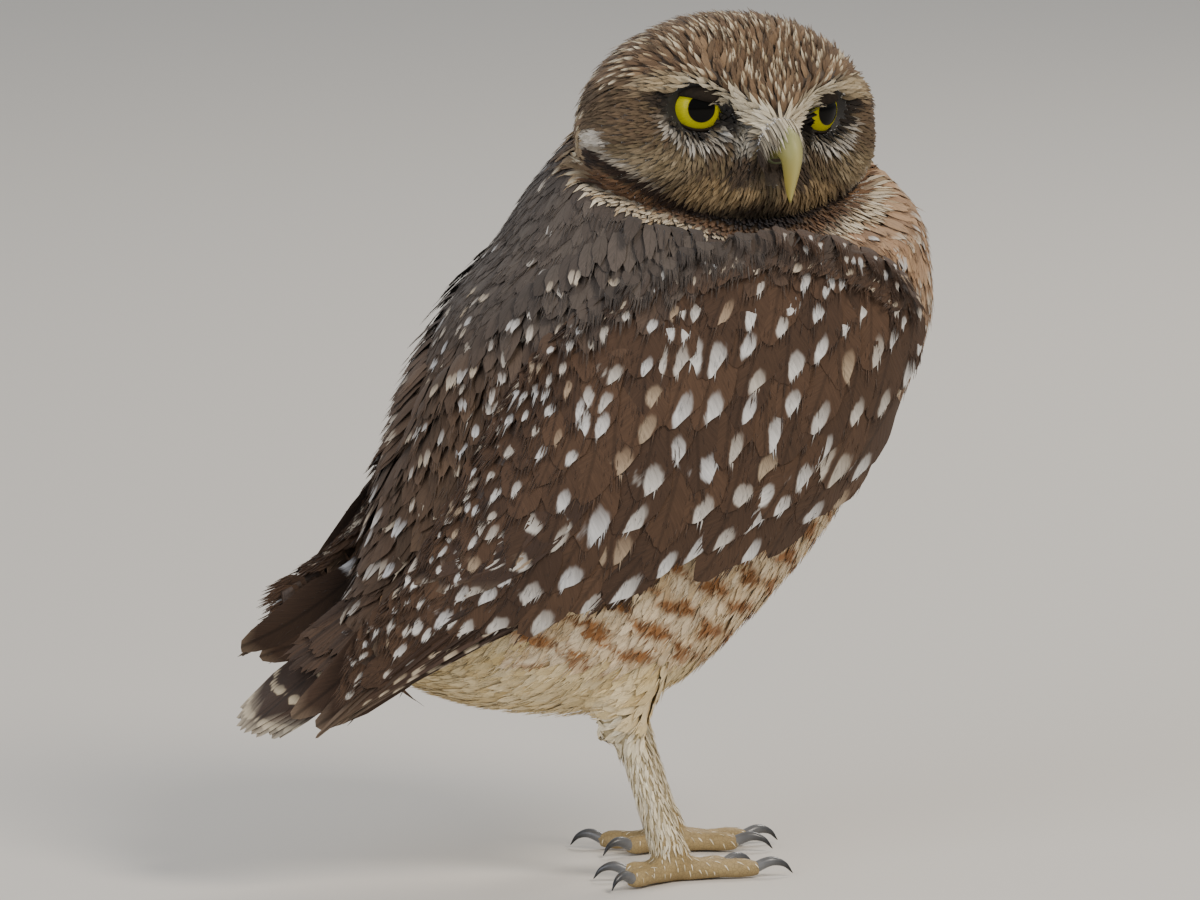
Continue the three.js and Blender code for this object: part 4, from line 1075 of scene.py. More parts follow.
def horn_form(ridge, half_width, depth, down, steps=44, sides=28):
    """A tapered horn along its ridge line, rounded across and flattened behind."""
    share = np.linspace(0, 1, steps + 1)
    line = on_line(ridge, share)
    along = unit(np.gradient(line, axis=0))
    inward = np.column_stack([along[:, 1], -along[:, 0]]) * down
    taper = (1 - share) ** 0.62
    wide, deep = np.maximum(half_width * taper, 0.25), np.maximum(depth * taper, 0.45)
    a = np.linspace(0, 2 * np.pi, sides, endpoint=False)
    across = np.sin(a) * (1 - 0.12 * np.cos(a))
    into = 0.5 - 0.5 * np.cos(a)
    place = line[:, None] + inward[:, None] * (deep[:, None] * into)[..., None]
    return loft(on_head(place[..., 0], across * wide[:, None], place[..., 1]))


# Horn grown in layers: a satin gloss over long faint growth lines and cloudy greens and yellows.
horn_material, tree, shader = finish_named("bill_horn_sheath", 0.45, Specular_IOR_Level=0.3)
along = add(tree, "Attribute", attribute_name="along")
horn_place = add(tree, "SeparateXYZ", {"Vector": along.outputs["Vector"]})
growth = add(
    tree, "TexNoise",
    {"Vector": along.outputs["Vector"], "Scale": 3.0, "Detail": 4.0, "Distortion": 0.4},
)
mix_place = add(
    tree, "Math", {0: growth.outputs["Fac"], 1: 0.3, 2: horn_place.outputs[0]},
    operation="MULTIPLY_ADD",
)
horn_tone = add(tree, "ValToRGB", {"Fac": mix_place.outputs[0]})
tones = horn_tone.color_ramp.elements
tones[0].position, tones[0].color = 0.12, opaque("#4f5942")
tones[1].position, tones[1].color = 1.0, opaque("#988840")
for place, tone in ((0.42, "#6b7452"), (0.72, "#888650")):
    tones.new(place).color = (*linear(tone), 1)
# Towards the ridge the horn is mixed to a pale yellow: partly its own yellow, partly painted light on the
# bill's top.
ridge_yellow_and_painted_light = add(
    tree, "Mix", {0: horn_place.outputs[1], 6: horn_tone.outputs["Color"], 7: opaque("#aca872")},
    data_type="RGBA",
)
horn_relief = add(tree, "Bump", {"Height": growth.outputs["Fac"], "Strength": 0.25, "Distance": 0.0003})
tree.links.new(ridge_yellow_and_painted_light.outputs[2], shader.inputs["Base Color"])
tree.links.new(horn_relief.outputs["Normal"], shader.inputs["Normal"])


def bill_piece(name, ridge, half_width, depth, down, node, steps=44, sides=28):
    points, faces = horn_form(ridge, half_width, depth, down, steps, sides)
    share = np.repeat(np.linspace(0, 1, steps + 1), sides)
    turn = np.linspace(0, 2 * np.pi, sides, endpoint=False)
    # How far each point lies on the ridge, where the colour is paled: the horn's yellow and painted light on
    # its top.
    on_ridge = np.tile(np.clip(np.cos(turn), 0, 1) ** 6 * 0.6, steps + 1)
    place = np.column_stack([share, on_ridge, np.zeros(len(share))])
    place = np.vstack([place, [[0, 0, 0], [1, 0, 0]]])
    bill = new_piece(name, points, faces)
    note_points(bill.data, "along", place)
    bill.data.materials.append(horn_material)
    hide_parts(node)
    return bill


bill_piece("bill_ridge", BILL_RIDGE, 4.9, 11.5, 1, "bill_upper")
bill_piece("bill_under", LOWER_RIDGE, 2.4, 3.0, -1, "bill_lower", steps=20)

# Bristles: stiff hair-like feathers from the lores and the bridge that sweep forward and down
# over the root of the bill and hide the soft skin there.
BRISTLES = 760
rng = np.random.default_rng(27)
t = np.linspace(0, 1, 5)[None, :]
a = rng.uniform(-2.8, 2.8, BRISTLES)[:, None]
root_side, root_up = 4.6 * np.sin(a), 0.9 + 5.3 * np.cos(a)
reach = rng.uniform(0.55, 1.05, (BRISTLES, 1)) * (0.6 + 0.4 * np.cos(a / 1.6)) * t
bristle_side = root_side * (1 - 0.12 * reach) + rng.normal(0, 0.35, (BRISTLES, 1))
bristle_up = root_up - 4.2 * reach - 1.6 * reach**2 + rng.normal(0, 0.3, (BRISTLES, 1))
bristle_ahead = 20.6 + 1.2 * np.cos(a) + 7.4 * reach * (0.7 + 0.3 * np.cos(a)) - 1.2 * reach**2
bristle_ahead = bristle_ahead + rng.normal(0, 0.25, (BRISTLES, 1))
line = on_head(bristle_ahead, bristle_side, bristle_up)
even = np.ones(bristle_side.shape)
outs = unit(np.stack([0.9 * even, bristle_side / 4, 0.5 * even], -1) @ HEAD_AXES.T)
across = unit(np.cross(outs, unit(np.gradient(line, axis=1))))
dark = smooth(np.abs(a[:, 0]), 1.3, 1.9)[:, None]
greyer = smooth(np.abs(a[:, 0]) + rng.normal(0, 0.25, BRISTLES), 0.35, 1.0)[:, None]
pale = shades(rng, BRISTLES, "#cfc5ae", "#bdb39c", spread=0.08) * (1 - greyer)
pale = pale + shades(rng, BRISTLES, "#958d7c", "#756c5c", "#5c5346", spread=0.1) * greyer
tone = pale * (1 - dark) + shades(rng, BRISTLES, "#3a3028", "#574a3c", spread=0.1) * dark
bristles = Plumage("bill_bristles")
bristles.grow(
    line, outs, across, rng.uniform(0.16, 0.3, BRISTLES), (0.0, 0.3),
    np.column_stack([0.5 + a[:, 0] * 0.02, np.full(BRISTLES, 0.66)]), tone, rng,
    columns=3, tip=0.2, thick=0.12, ragged=0.1,
)
bristles.piece(fine_vane, "plumage")

# The trunk's coat: dark mantle, spotted breast, barred belly, plain cream vent and thighs. The
# feathers are soft, rounded and loose, about 9 mm long and 15 mm on the rump, rooted in the skin
# and laid over each other from the shoulders to the tail.
MANTLE_BROWNS = ("#49413b", "#534a43", "#5d544c")
BACK_BROWNS = ("#4a3a2c", "#554233", "#5f4b3a")
BREAST_BROWNS = ("#94755a", "#a98b6c", "#80644c")
BELLY_WHITES = ("#dbc49e", "#e6d4b5", "#ceb38a")
BAR_BROWNS = ("#8c6039", "#9a6b40", "#77502f")
# The belly's bars lie in broken rows this far apart, each bar about this long with its gap.
BAR_ROWS = 7.2
BAR_REACH = 16.0
VENT_CREAMS = ("#ddc796", "#e4d2aa", "#cfb682")
SPOT_WHITE = "#c6c5c3"
LEG_TOP = 38.6
# The wing's two edges from its bend to its tip, as places of the bird's side view.
WING_LOWER = [
    (49, 123), (45.5, 109), (37.5, 94), (25, 82), (5, 74), (-20, 67), (-44, 59), (-63, 50),
    (-79, 40), (-89, 31.5),
]
WING_UPPER = [
    (49, 132), (37, 142), (14, 147), (-12, 141), (-32, 127), (-46, 108), (-56, 87), (-67, 69.5),
    (-81, 52.5), (-91.5, 39),
]
wing_outline = np.vstack([
    on_line(WING_LOWER, np.linspace(0, 1, 60)), on_line(WING_UPPER, np.linspace(1, 0, 60)),
])


def within(points, outline):
    """How far points lie inside a closed outline, below zero outside."""
    start, end = outline, np.roll(outline, -1, 0)
    run = end - start
    offset = points[:, None] - start[None]
    share = np.clip((offset * run).sum(-1) / np.maximum((run**2).sum(-1), 1e-9), 0, 1)
    away = np.linalg.norm(offset - run * share[..., None], axis=-1).min(1)
    crosses = (start[:, 1] > points[:, 1:2]) != (end[:, 1] > points[:, 1:2])
    rise = np.where(run[:, 1] == 0, 1e-9, run[:, 1])
    at = start[:, 0] + (points[:, 1:2] - start[:, 1]) / rise * run[:, 0]
    inside = (crosses & (points[:, :1] < at)).sum(1) % 2 == 1
    return np.where(inside, away, -away)


ahead_x, side_y, up_z = patch_at.T
round_back = np.cos(patch_angle)
under_wing = within(patch_at[:, [0, 2]], wing_outline)
covered = (under_wing > 7) & (np.abs(side_y) > 12)
is_trunk = ~patch_on_head & (up_z > LEG_TOP) & ~covered
is_trunk |= patch_on_head & ~is_face & ~is_crown & (eye_away > 12) & ~under_bill & (up < -10)
# The share of breast, belly and vent in each patch; what is none of them is the mantle.
front = smooth(ahead_x + 0.25 * (up_z - 120), 22, 42)
belly = smooth(-up_z - 0.25 * ahead_x, -108, -92) * smooth(-round_back, -0.2, 0.25)
belly = np.maximum(belly, smooth(-up_z, -76, -66) * smooth(ahead_x, -68, -60))
vent = smooth(-ahead_x - 0.5 * (up_z - 50), 28, 42) * smooth(-up_z, -72, -62)
vent = np.maximum(vent, smooth(-up_z, -57, -50))
front[patch_on_head] = 0


def trunk_colours(patches, rng):
    """Each feather's colour, its mark and the mark's tint, by where on the trunk it grows."""
    count = len(patches)
    f, b, v = front[patches], belly[patches], vent[patches]
    pick = rng.random(count)
    is_belly = pick < b
    is_front = ~is_belly & (rng.random(count) < f)
    slate = smooth(up_z[patches], 112, 136)[:, None]
    coat = shades(rng, count, *MANTLE_BROWNS, spread=0.06) * slate
    coat = coat + shades(rng, count, *BACK_BROWNS, spread=0.06) * (1 - slate)
    coat[is_front] = shades(rng, is_front.sum(), *BREAST_BROWNS)
    coat[is_belly] = shades(rng, is_belly.sum(), *BELLY_WHITES, spread=0.06)
    is_vent = is_belly & (rng.random(count) < v)
    coat[is_vent] = shades(rng, is_vent.sum(), *VENT_CREAMS, spread=0.05)
    mark = np.tile(np.array(NO_SPOT, float), (count, 1))
    tint = np.column_stack([shades(rng, count, SPOT_WHITE, "#b9a88e", spread=0.06), np.ones(count)])
    odds = np.where(is_front, 0.55, 0.26 * smooth(-up_z[patches], -150, -126) + 0.04)
    spotted = ~is_belly & (rng.random(count) < odds)
    mark[spotted] = np.column_stack([
        np.where(rng.random(spotted.sum()) < 0.35, 0.45, 0.0), rng.uniform(0.42, 0.6, spotted.sum()),
        rng.uniform(0.72, 0.8, spotted.sum()), rng.uniform(0.15, 0.21, spotted.sum()),
    ])
    return coat, mark, tint, is_belly * ~is_vent * (1 - v)


def barred(colours, points, share, rng):
    """Colours of each belly feather's points with the brown of the bars where they cross it."""
    each = len(points) // len(share)
    x, y, z = (points + np.repeat(rng.normal(0, 0.45, (len(share), 3)), each, axis=0)).T
    over = 0.85 * x - 0.52 * z - 0.7 * np.abs(y)
    row = (-0.52 * x - 0.85 * z) / BAR_ROWS + 0.12 * np.sin(over / 3.1)
    broken = np.cos(2 * np.pi * over / BAR_REACH + 2.4 * np.floor(row + 0.5) ** 2)
    bar = smooth(np.cos(2 * np.pi * row) + 0.55 * broken, 0.1, 0.6) * np.repeat(share, each)
    brown = np.repeat(shades(rng, len(share), *BAR_BROWNS), each, axis=0)
    return colours + (brown - colours) * bar[:, None]


def trunk_tract(
    name, chosen, spacing, length, half, lift, seed, steps=4, uneven=0.15, sideways=0.0, **form,
):
    """The feathers of one tract of the trunk, lift mm over the skin at their tips."""
    rng = np.random.default_rng(seed)
    roots, patches = scatter(chosen, spacing, seed + 1)
    count = len(roots)
    drift = np.sign(roots[:, 1:2]) * sideways * np.array([[0, 1.0, 0]]) - np.array([[0, 0, 0.5]]) * sideways
    length = length * rng.uniform(1 - uneven, 1 + uneven, count)
    line, outs, across = laid(roots, patches, length, steps, rng, stray=0.12, drift=drift)
    coat, mark, tint, bars = trunk_colours(patches, rng)
    tract = Plumage(name)
    tract.grow(
        line, outs, across, half * rng.uniform(0.85, 1.15, count),
        np.column_stack([0.2 * np.ones(count), lift * rng.uniform(0.85, 1.1, count)]),
        unwrapped(patches), coat, rng, mark=mark, tint=tint, **form,
    )
    for part in tract.parts if bars.any() else ():
        part["coat"][:, :3] = barred(part["coat"][:, :3], part["points"], bars, rng)
    return tract


# Loose downy vanes whose barbs don't hook together: no gloss and almost no shaft.
soft_vane = barbed("loose_belly_vane", 0.9, 26.0, 0.92)
is_belly_patch = is_trunk & (belly > 0.5)
is_front_patch = is_trunk & ~is_belly_patch & (front > 0.45)
is_mantle_patch = is_trunk & ~is_belly_patch & ~is_front_patch
is_nape_patch = is_mantle_patch & (up_z > 112)
soft = dict(ragged=0.2, thick=0.12, camber=0.06, barbs=5, barb=3.0, thin=0.16)
trunk_tract("coat_nape", is_nape_patch, 1.9, 8.5, 1.7, 0.9, 31, **soft).piece(body_vane, "plumage")
is_back_patch = is_mantle_patch & ~is_nape_patch
trunk_tract("coat_back", is_back_patch, 2.0, 9.5, 1.9, 1.0, 35, **soft).piece(body_vane, "plumage")
# Longer rump feathers stand looser and fill the hollow between the back and the wings.
is_rump_patch = is_mantle_patch & (up_z < 98) & (round_back > 0.2)
trunk_tract("coat_rump", is_rump_patch, 3.0, 15, 2.8, 5.0, 55, steps=6, **soft).piece(body_vane, "plumage")
trunk_tract("coat_breast", is_front_patch, 2.1, 9.5, 2.1, 1.5, 41, **soft).piece(body_vane, "plumage")
# Scapulars bridge from the back over the upper edge of each wing.
is_scapular = is_trunk & ~is_belly_patch & (under_wing > -8) & (under_wing < 0.5) & (up_z > 92)
is_scapular &= (round_back > 0) & (ahead_x < 24)
trunk_tract("scapulars", is_scapular, 2.2, 11, 1.9, 4.6, 45, sideways=0.8, **soft).piece(body_vane, "plumage")
soft.update(ragged=0.24, barb=2.3, thin=0.18, loose=0.4, uneven=0.05)
for name, side in SIDES.items():
    mine = is_belly_patch & (side_y * side > 0)
    belly_coat = trunk_tract(f"coat_belly_{name}", mine, 1.8, 9, 1.6, 1.8, 51, steps=5, **soft)
    belly_coat.piece(soft_vane, "pale_plumage")

# The folded wings: on each a bed of down and skin, a field of broad spotted coverts over it, and
# the flight feathers below and behind, stiff vanes that slide over each other. All lie on one
# sheet over the flank, as in the solids.
# The sheet's distance from the middle plane where it is free of the trunk, how smoothly it meets
# the trunk's own side, and how far back and up each wing's tip is moved.
WING_FREE = [(-95, 17.4), (-60, 20), (-20, 20), (20, 16), (50, 8)]
WING_BLEND = 7
TIP_SHIFT = {"right": (0, 0), "left": (-3, 12)}
WING_DOWN = "#46362a"
WING_UNWRAP_CORNER, WING_UNWRAP_SIDE = (-100, 20), (170, 170)
WING_BROWNS = ("#413024", "#493628", "#523d2d")
FLIGHT_BROWNS = ("#35281f", "#402f24", "#4a382b")
EDGE_COVERTS = 330


def trunk_half(x, z):
    """Half the trunk's width over points of its side view, or 0 outside its outline."""
    share = np.linspace(0, 1, 141)
    back, lower = on_line(TRUNK_BACK, share), on_line(TRUNK_BELLY, share)
    wide = on_line(TRUNK_HALF, share)[:, 0]
    middle, spread = (back + lower) / 2, (back - lower) / 2
    length = np.linalg.norm(spread, axis=1)
    lie = spread / length[:, None]
    found = np.zeros(x.shape)
    side = [(x - m[0]) * d[1] - (z - m[1]) * d[0] for m, d in zip(middle, lie)]
    for i in range(len(share) - 1):
        here = (side[i] * side[i + 1] <= 0) & (found == 0)
        part = side[i] / np.where(side[i] == side[i + 1], 1, side[i] - side[i + 1])
        mx, mz = (middle[i, k] + (middle[i + 1, k] - middle[i, k]) * part for k in (0, 1))
        dx, dz = (lie[i, k] + (lie[i + 1, k] - lie[i, k]) * part for k in (0, 1))
        reach = np.abs((x - mx) * dx + (z - mz) * dz) / length[i]
        width = wide[i] * np.maximum(1 - reach**TRUNK_ROUNDNESS, 0) ** (1 / TRUNK_ROUNDNESS)
        found = np.where(here & (reach < 1), width, found)
    return found


sheet_x, sheet_z = np.arange(-102, 62.0), np.arange(18, 166.0)
grid_x, grid_z = np.meshgrid(sheet_x, sheet_z, indexing="ij")
free_side = np.interp(grid_x, *np.array(WING_FREE).T)
half_there = trunk_half(grid_x, grid_z)
sheet = (half_there + free_side + np.hypot(half_there - free_side, WING_BLEND)) / 2
for _ in range(3):
    padded = np.pad(sheet, 1, mode="edge")
    sheet = (padded[:-2, 1:-1] + padded[2:, 1:-1] + padded[1:-1, :-2] + padded[1:-1, 2:] + 2 * sheet) / 6
slope_x, slope_z = np.gradient(sheet)


def on_sheet(name, places):
    """Points and outward normals of a wing's sheet for places of the side view."""
    i = np.clip(places[..., 0] - sheet_x[0], 0, len(sheet_x) - 2.001)
    j = np.clip(places[..., 1] - sheet_z[0], 0, len(sheet_z) - 2.001)
    a, b = i.astype(int), j.astype(int)
    p, q = i - a, j - b

    def at(values):
        lower = values[a, b] * (1 - p) + values[a + 1, b] * p
        upper = values[a, b + 1] * (1 - p) + values[a + 1, b + 1] * p
        return lower * (1 - q) + upper * q

    side = SIDES[name]
    out = np.stack([-at(slope_x), side * np.ones(p.shape), -at(slope_z)], -1)
    return np.stack([places[..., 0], side * at(sheet), places[..., 1]], -1), unit(out)


def shifted(name, places):
    share = smooth(-places[..., 0], 55, 90)[..., None]
    return places + share * np.array(TIP_SHIFT[name], float)


def wing_leaves(tract, name, roots, tips, bow, half, heights, coat, rng, steps=8, inward=False, **form):
    """Feathers between roots and tips of the side view, bowed, laid on the wing's sheet."""
    t = np.linspace(0, 1, steps + 1)[None, :, None]
    roots, tips = shifted(name, np.asarray(roots, float)), shifted(name, np.asarray(tips, float))
    run = tips - roots
    aside = unit(np.stack([-run[:, 1], run[:, 0]], -1))
    bow = np.broadcast_to(bow, len(roots))
    places = roots[:, None] + run[:, None] * t + aside[:, None] * bow[:, None, None] * np.sin(np.pi * t)
    line, outs = on_sheet(name, places)
    outs = -outs if inward else outs
    across = unit(np.cross(outs, unit(np.gradient(line, axis=1))))
    bake = (roots * 0.4 + tips * 0.6 - WING_UNWRAP_CORNER) / WING_UNWRAP_SIDE
    side = -SIDES[name]
    form["roll"] = form.get("roll", 0.1) * side
    if "lop" in form:
        form["lop"] = form["lop"] * side
    tract.grow(line, outs, across, half, heights, bake, coat, rng, **form)


def spread_in(outline, spacing_at, seed, box=(-96, 30, 56, 152)):
    """Even random places inside an outline, spaced by a function of the place."""
    rng = np.random.default_rng(seed)
    tries = rng.uniform(box[:2], box[2:], (9000, 2))
    tries = tries[within(tries, outline) > 0]
    gaps = spacing_at(tries)
    kept = []
    for i, (spot, gap) in enumerate(zip(tries, gaps)):
        if not kept or (((tries[kept] - spot) ** 2).sum(1) > (gap * 0.5 + gaps[kept] * 0.5) ** 2).all():
            kept.append(i)
    return tries[kept]


upper_edge = on_line(WING_UPPER, np.linspace(0, 1, 80))
covert_line = [
    (49, 119), (40, 102), (29, 88), (12, 79), (-12, 73), (-36, 66), (-60, 55.5), (-81, 46),
]
covert_outline = np.vstack([
    on_line(covert_line, np.linspace(0, 1, 50)), on_line(WING_UPPER[:9], np.linspace(1, 0, 50)),
])


def from_upper_edge(places):
    return np.linalg.norm(places[:, None] - upper_edge[None], axis=-1).min(1)


def covert_gap(places):
    return np.clip(2.1 + 0.2 * from_upper_edge(places), 2.1, 6.7)


# Coverts are smooth hooked vanes with a soft sheen; flight feathers are stiffer, glossier and
# finer in grain, with a strong dark shaft and tips worn pale.
wing_vane = barbed("covert_vane", 0.72, 30.0, 0.72)
flight_vane = barbed("flight_vane", 0.6, 60.0, 0.6, fringe=("#8d7b66", 0.6))
for name in SIDES:
    seed = 61 if name == "right" else 71
    rng = np.random.default_rng(seed)
    share = np.linspace(0.02, 0.87, 42)
    low, high = shifted(name, on_line(WING_LOWER, share)), shifted(name, on_line(WING_UPPER, share))
    inset = np.linspace(0.08, 0.92, 12)[:, None]
    bed_at, bed_out = on_sheet(name, low[:, None] + (high - low)[:, None] * inset[None])
    rings = np.concatenate([bed_at + bed_out * 1.7, (bed_at + bed_out * 0.3)[:, ::-1]], 1)
    points, faces = loft(rings)
    bed = new_piece(f"wing_bed_{name}", points, faces)
    bed.data.materials.append(hide_material)
    note_points(bed.data, "coat", np.tile(opaque(WING_DOWN), (len(points), 1)))
    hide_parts(f"wing_{name}")

    flights = Plumage(f"flights_{name}")
    rows = [
        (8, [(31, 88.5), (-8, 84)], [(-66, 48), (-89, 36)], (-7.5, -5), (2.9, 3.1), (1.3, 2.0)),
        (9, [(22, 93), (-22, 104)], [(-28, 65.5), (-75, 53.5)], (-6, -2), (6.6, 7.6), (1.2, 2.3)),
        (3, [(-22, 110), (-37, 106)], [(-58, 66), (-67, 69)], (1, 3), (7.2, 6.6), (1.5, 2.6)),
    ]
    for row, (number, roots, tips, bow, half, heights) in enumerate(rows):
        t = np.linspace(0, 1, number)[:, None]
        root = np.array(roots[0]) * (1 - t) + np.array(roots[1]) * t + rng.normal(0, 0.4, (number, 2))
        tip = np.array(tips[0]) * (1 - t) + np.array(tips[1]) * t + rng.normal(0, 0.5, (number, 2))
        lift = np.array(heights) + np.linspace(0.35, -0.35, number)[:, None]
        mark = (0.9, 0.45, 0.5, 0.2) if row == 0 else (0.62, 0.42, 0.5, 0.2)
        repeats = (10.0, 6.0, 5.0)[row]
        wing_leaves(
            flights, name, root, tip, np.linspace(*bow, number), np.linspace(*half, number), lift,
            shades(rng, number, *FLIGHT_BROWNS, spread=0.1), rng, steps=20, columns=9, mark=mark,
            tint=(*linear("#b5a58c" if row == 0 else "#c5bfb4"), repeats), tip=0.45 if row == 0 else 0.7,
            rounding=0.4 if row == 0 else 0.3, ragged=0.03, thick=0.3, camber=0.06, lop=(1.0, 1.0, 0.0)[row],
            barbs=24, barb=3.0, thin=0.15, loose=0.15, barbs_from=0.3,
        )
    wing_leaves(
        flights, name, [(-57, 63), (-62, 68)], [(-86, 38), (-91, 40)], 2.0, 5.4, [(1.4, 3.6), (2.2, 4.6)],
        shades(rng, 2, *FLIGHT_BROWNS, spread=0.05), rng, steps=14, inward=True, columns=9, tip=0.95,
        rounding=0.55, ragged=0.03, thick=0.3, camber=0.12, barbs=24, barb=2.4, thin=0.14, barbs_from=0.3,
    )
    flights.piece(flight_vane, "plumage", f"wing_{name}")

    coverts = Plumage(f"coverts_{name}")
    middles = spread_in(covert_outline, covert_gap, seed + 1)
    count = len(middles)
    gap = covert_gap(middles)
    along_edge = smooth(0.45 * middles[:, 0] - middles[:, 1], -96, -78)
    steep = np.radians(76 - 16 * smooth(-middles[:, 0], 20, 70) - 22 * along_edge + rng.normal(0, 6, count))
    way = np.stack([-np.cos(steep), -np.sin(steep)], -1)
    length = 3.2 * gap * rng.uniform(0.9, 1.12, count)
    tip = middles + way * (0.33 * length)[:, None]
    root = middles - way * (0.67 * length)[:, None]
    root = root + way * np.clip(-within(root, wing_outline) * 1.1 + 0.6, 0, 0.62 * length)[:, None]
    beyond = smooth(-within(root, wing_outline), 0, 3)
    kind = rng.random(count)
    mark = np.column_stack([
        np.full(count, 0.92), rng.uniform(0.48, 0.86, count), rng.uniform(0.74, 0.79, count),
        rng.uniform(0.13, 0.22, count),
    ])
    lop = np.ones(count)
    paired = kind < 0.2
    lop[paired] = 0
    mark[paired, 0], mark[paired, 1] = 0.5, 0.34
    mark[kind > 0.93] = NO_SPOT
    tint = shades(rng, count, SPOT_WHITE, "#cfcdc8", "#b3aa9c", spread=0.05)
    tint = np.column_stack([tint, np.ones(count)])
    # Near the nape they turn to small slate feathers with hardly a spot.
    slate = smooth(-from_upper_edge(middles), -13, -5) * smooth(-middles[:, 0], -22, -8)
    slate = slate * smooth(middles[:, 1], 118, 132)
    mark[rng.random(count) < 0.85 * slate] = NO_SPOT
    browns = shades(rng, count, *WING_BROWNS, spread=0.045)
    browns = browns * (1 - slate[:, None]) + shades(rng, count, *MANTLE_BROWNS, spread=0.05) * slate[:, None]
    shaded = rng.random(count) < 0.1
    tint[shaded, :3] = shades(rng, shaded.sum(), "#98836c", "#a9977f", spread=0.06)
    low = -0.6 + 2.9 * smooth(from_upper_edge(root), 1, 9) * (1 - beyond)
    wing_leaves(
        coverts, name, root, tip, 0.0, 0.9 * gap,
        np.column_stack([low, 3.1 + rng.uniform(-0.12, 0.18, count)]),
        browns, rng, steps=8, columns=9, mark=mark, tint=tint, lop=lop,
        tip=0.72, rounding=0.34, ragged=0.09, thick=0.14, camber=0.05, roll=0.05,
        barbs=30, barb=3.6, thin=0.17, loose=0.22, barbs_from=0.35,
    )
    coverts.piece(wing_vane, "plumage", f"wing_{name}")

    # The wing's inner face is clothed along its free upper edge, where it stands off the rump.
    edge = on_line(WING_UPPER, np.linspace(0.35, 0.8, 60))
    inner_outline = np.vstack([edge, edge[::-1] - (-6, 11)])
    middles = spread_in(inner_outline, lambda places: np.full(len(places), 2.7), seed + 2)
    middles = middles[within(middles, wing_outline) > 1]
    count = len(middles)
    steep = np.radians(50 + rng.normal(0, 6, count))
    way = np.stack([-np.cos(steep), -np.sin(steep)], -1) * rng.uniform(4.2, 5.2, (count, 1))
    mark = np.column_stack([
        np.zeros((count, 1)), rng.uniform(0.4, 0.6, (count, 1)), np.full((count, 2), (0.8, 0.15)),
    ])
    mark[rng.random(count) > 0.15] = NO_SPOT
    lining = Plumage(f"wing_inner_{name}")
    # The lining's browns are paler than the back's: painted light, to lift the shadow it lies in between the
    # rump and the wing.
    wing_leaves(
        lining, name, middles - way, middles + way * 0.8, 0.0, 2.3, (-0.4, 1.3),
        shades(rng, count, "#65513f", "#755e4a", "#574534"), rng,
        steps=4, inward=True, mark=mark, tint=opaque(SPOT_WHITE),
        rounding=0.34, ragged=0.16, thick=0.16, barbs=5,
    )
    # Short coverts lie along the upper edge itself and wrap it from face to face. Over the
    # shoulder they turn down across the wing and become small slate feathers.
    count = EDGE_COVERTS
    place = rng.uniform(0.0, 0.8, count)
    forward = smooth(-place, -0.45, -0.3)
    inset = rng.uniform(0, 4.2, (count, 1)) * forward[:, None]
    edge_root, edge_tip = on_line(WING_UPPER, place), on_line(WING_UPPER, place + 0.055)
    run = unit(edge_tip - edge_root)
    inwards = np.stack([-run[:, 1], run[:, 0]], -1)
    downwards = (edge_tip - edge_root) * (1 - 0.65 * forward[:, None]) + inwards * 6.5 * forward[:, None]
    edge_root = edge_root + inwards * inset
    edge_tip = edge_root + downwards
    t = np.linspace(0, 1, 5)[None, :, None]
    places = edge_root[:, None] + (edge_tip - edge_root)[:, None] * t
    line, face_out = on_sheet(name, shifted(name, places))
    off_edge = np.stack([run[:, 1], 0 * run[:, 0], -run[:, 0]], -1)[:, None]
    onto_face = rng.uniform(-1.2, 1.0, (count, 1, 1)) + inset[:, None] * 0.6
    outs = unit(off_edge + face_out * onto_face)
    line = line + face_out * (0.9 + 0.25 * inset[:, None]) - off_edge * (1.2 - 0.6 * forward[:, None, None])
    across = unit(np.cross(outs, unit(np.gradient(line, axis=1))))
    mark = np.tile((0.0, 0.5, 0.76, 0.2), (count, 1))
    mark[rng.random(count) > 0.35 - 0.2 * forward] = NO_SPOT
    slate = forward[:, None] * smooth(place, 0.06, 0.2)[:, None] * (1 - 0.2 * inset)
    browns = shades(rng, count, *WING_BROWNS, spread=0.06) * (1 - slate)
    browns = browns + shades(rng, count, *MANTLE_BROWNS, spread=0.06) * slate
    lining.grow(
        line, outs, across, rng.uniform(1.5, 2.1, count), (-0.2, 2.2),
        (edge_root - WING_UNWRAP_CORNER) / WING_UNWRAP_SIDE, browns, rng,
        mark=mark, tint=(*linear("#b9ac98"), 1.0),
        rounding=0.34, ragged=0.2, thick=0.14, barbs=5, barb=2.8, camber=0.12,
    )
    lining.piece(wing_vane, "plumage", f"wing_{name}")

# The tail: twelve stiff feathers in a narrow fan, barred and frayed pale at the tip, between
# rows of short brown coverts above and long cream ones below, on a flat root at the rump.
TAIL_ROOT = (-62, 0, 64.5)
TAIL_SLOPE = 37
TAIL_ROLL = 12
TAIL_FAN = 9.5
TAIL_DOWN = "#6b5a45"
slope, roll = math.radians(TAIL_SLOPE), math.radians(TAIL_ROLL)
tail_along = np.array([-math.cos(slope), 0, -math.sin(slope)])
tail_flat = np.array([-math.sin(slope), 0, math.cos(slope)])
tail_left = np.array([0, 1.0, 0]) * math.cos(roll) + np.cross(tail_along, [0, 1.0, 0]) * -math.sin(roll)
tail_up = tail_flat * math.cos(roll) + np.cross(tail_along, tail_flat) * -math.sin(roll)


def on_tail(along, left, up):
    return (
        np.array(TAIL_ROOT)
        + np.asarray(along)[..., None] * tail_along
        + np.asarray(left)[..., None] * tail_left
        + np.asarray(up)[..., None] * tail_up
    )


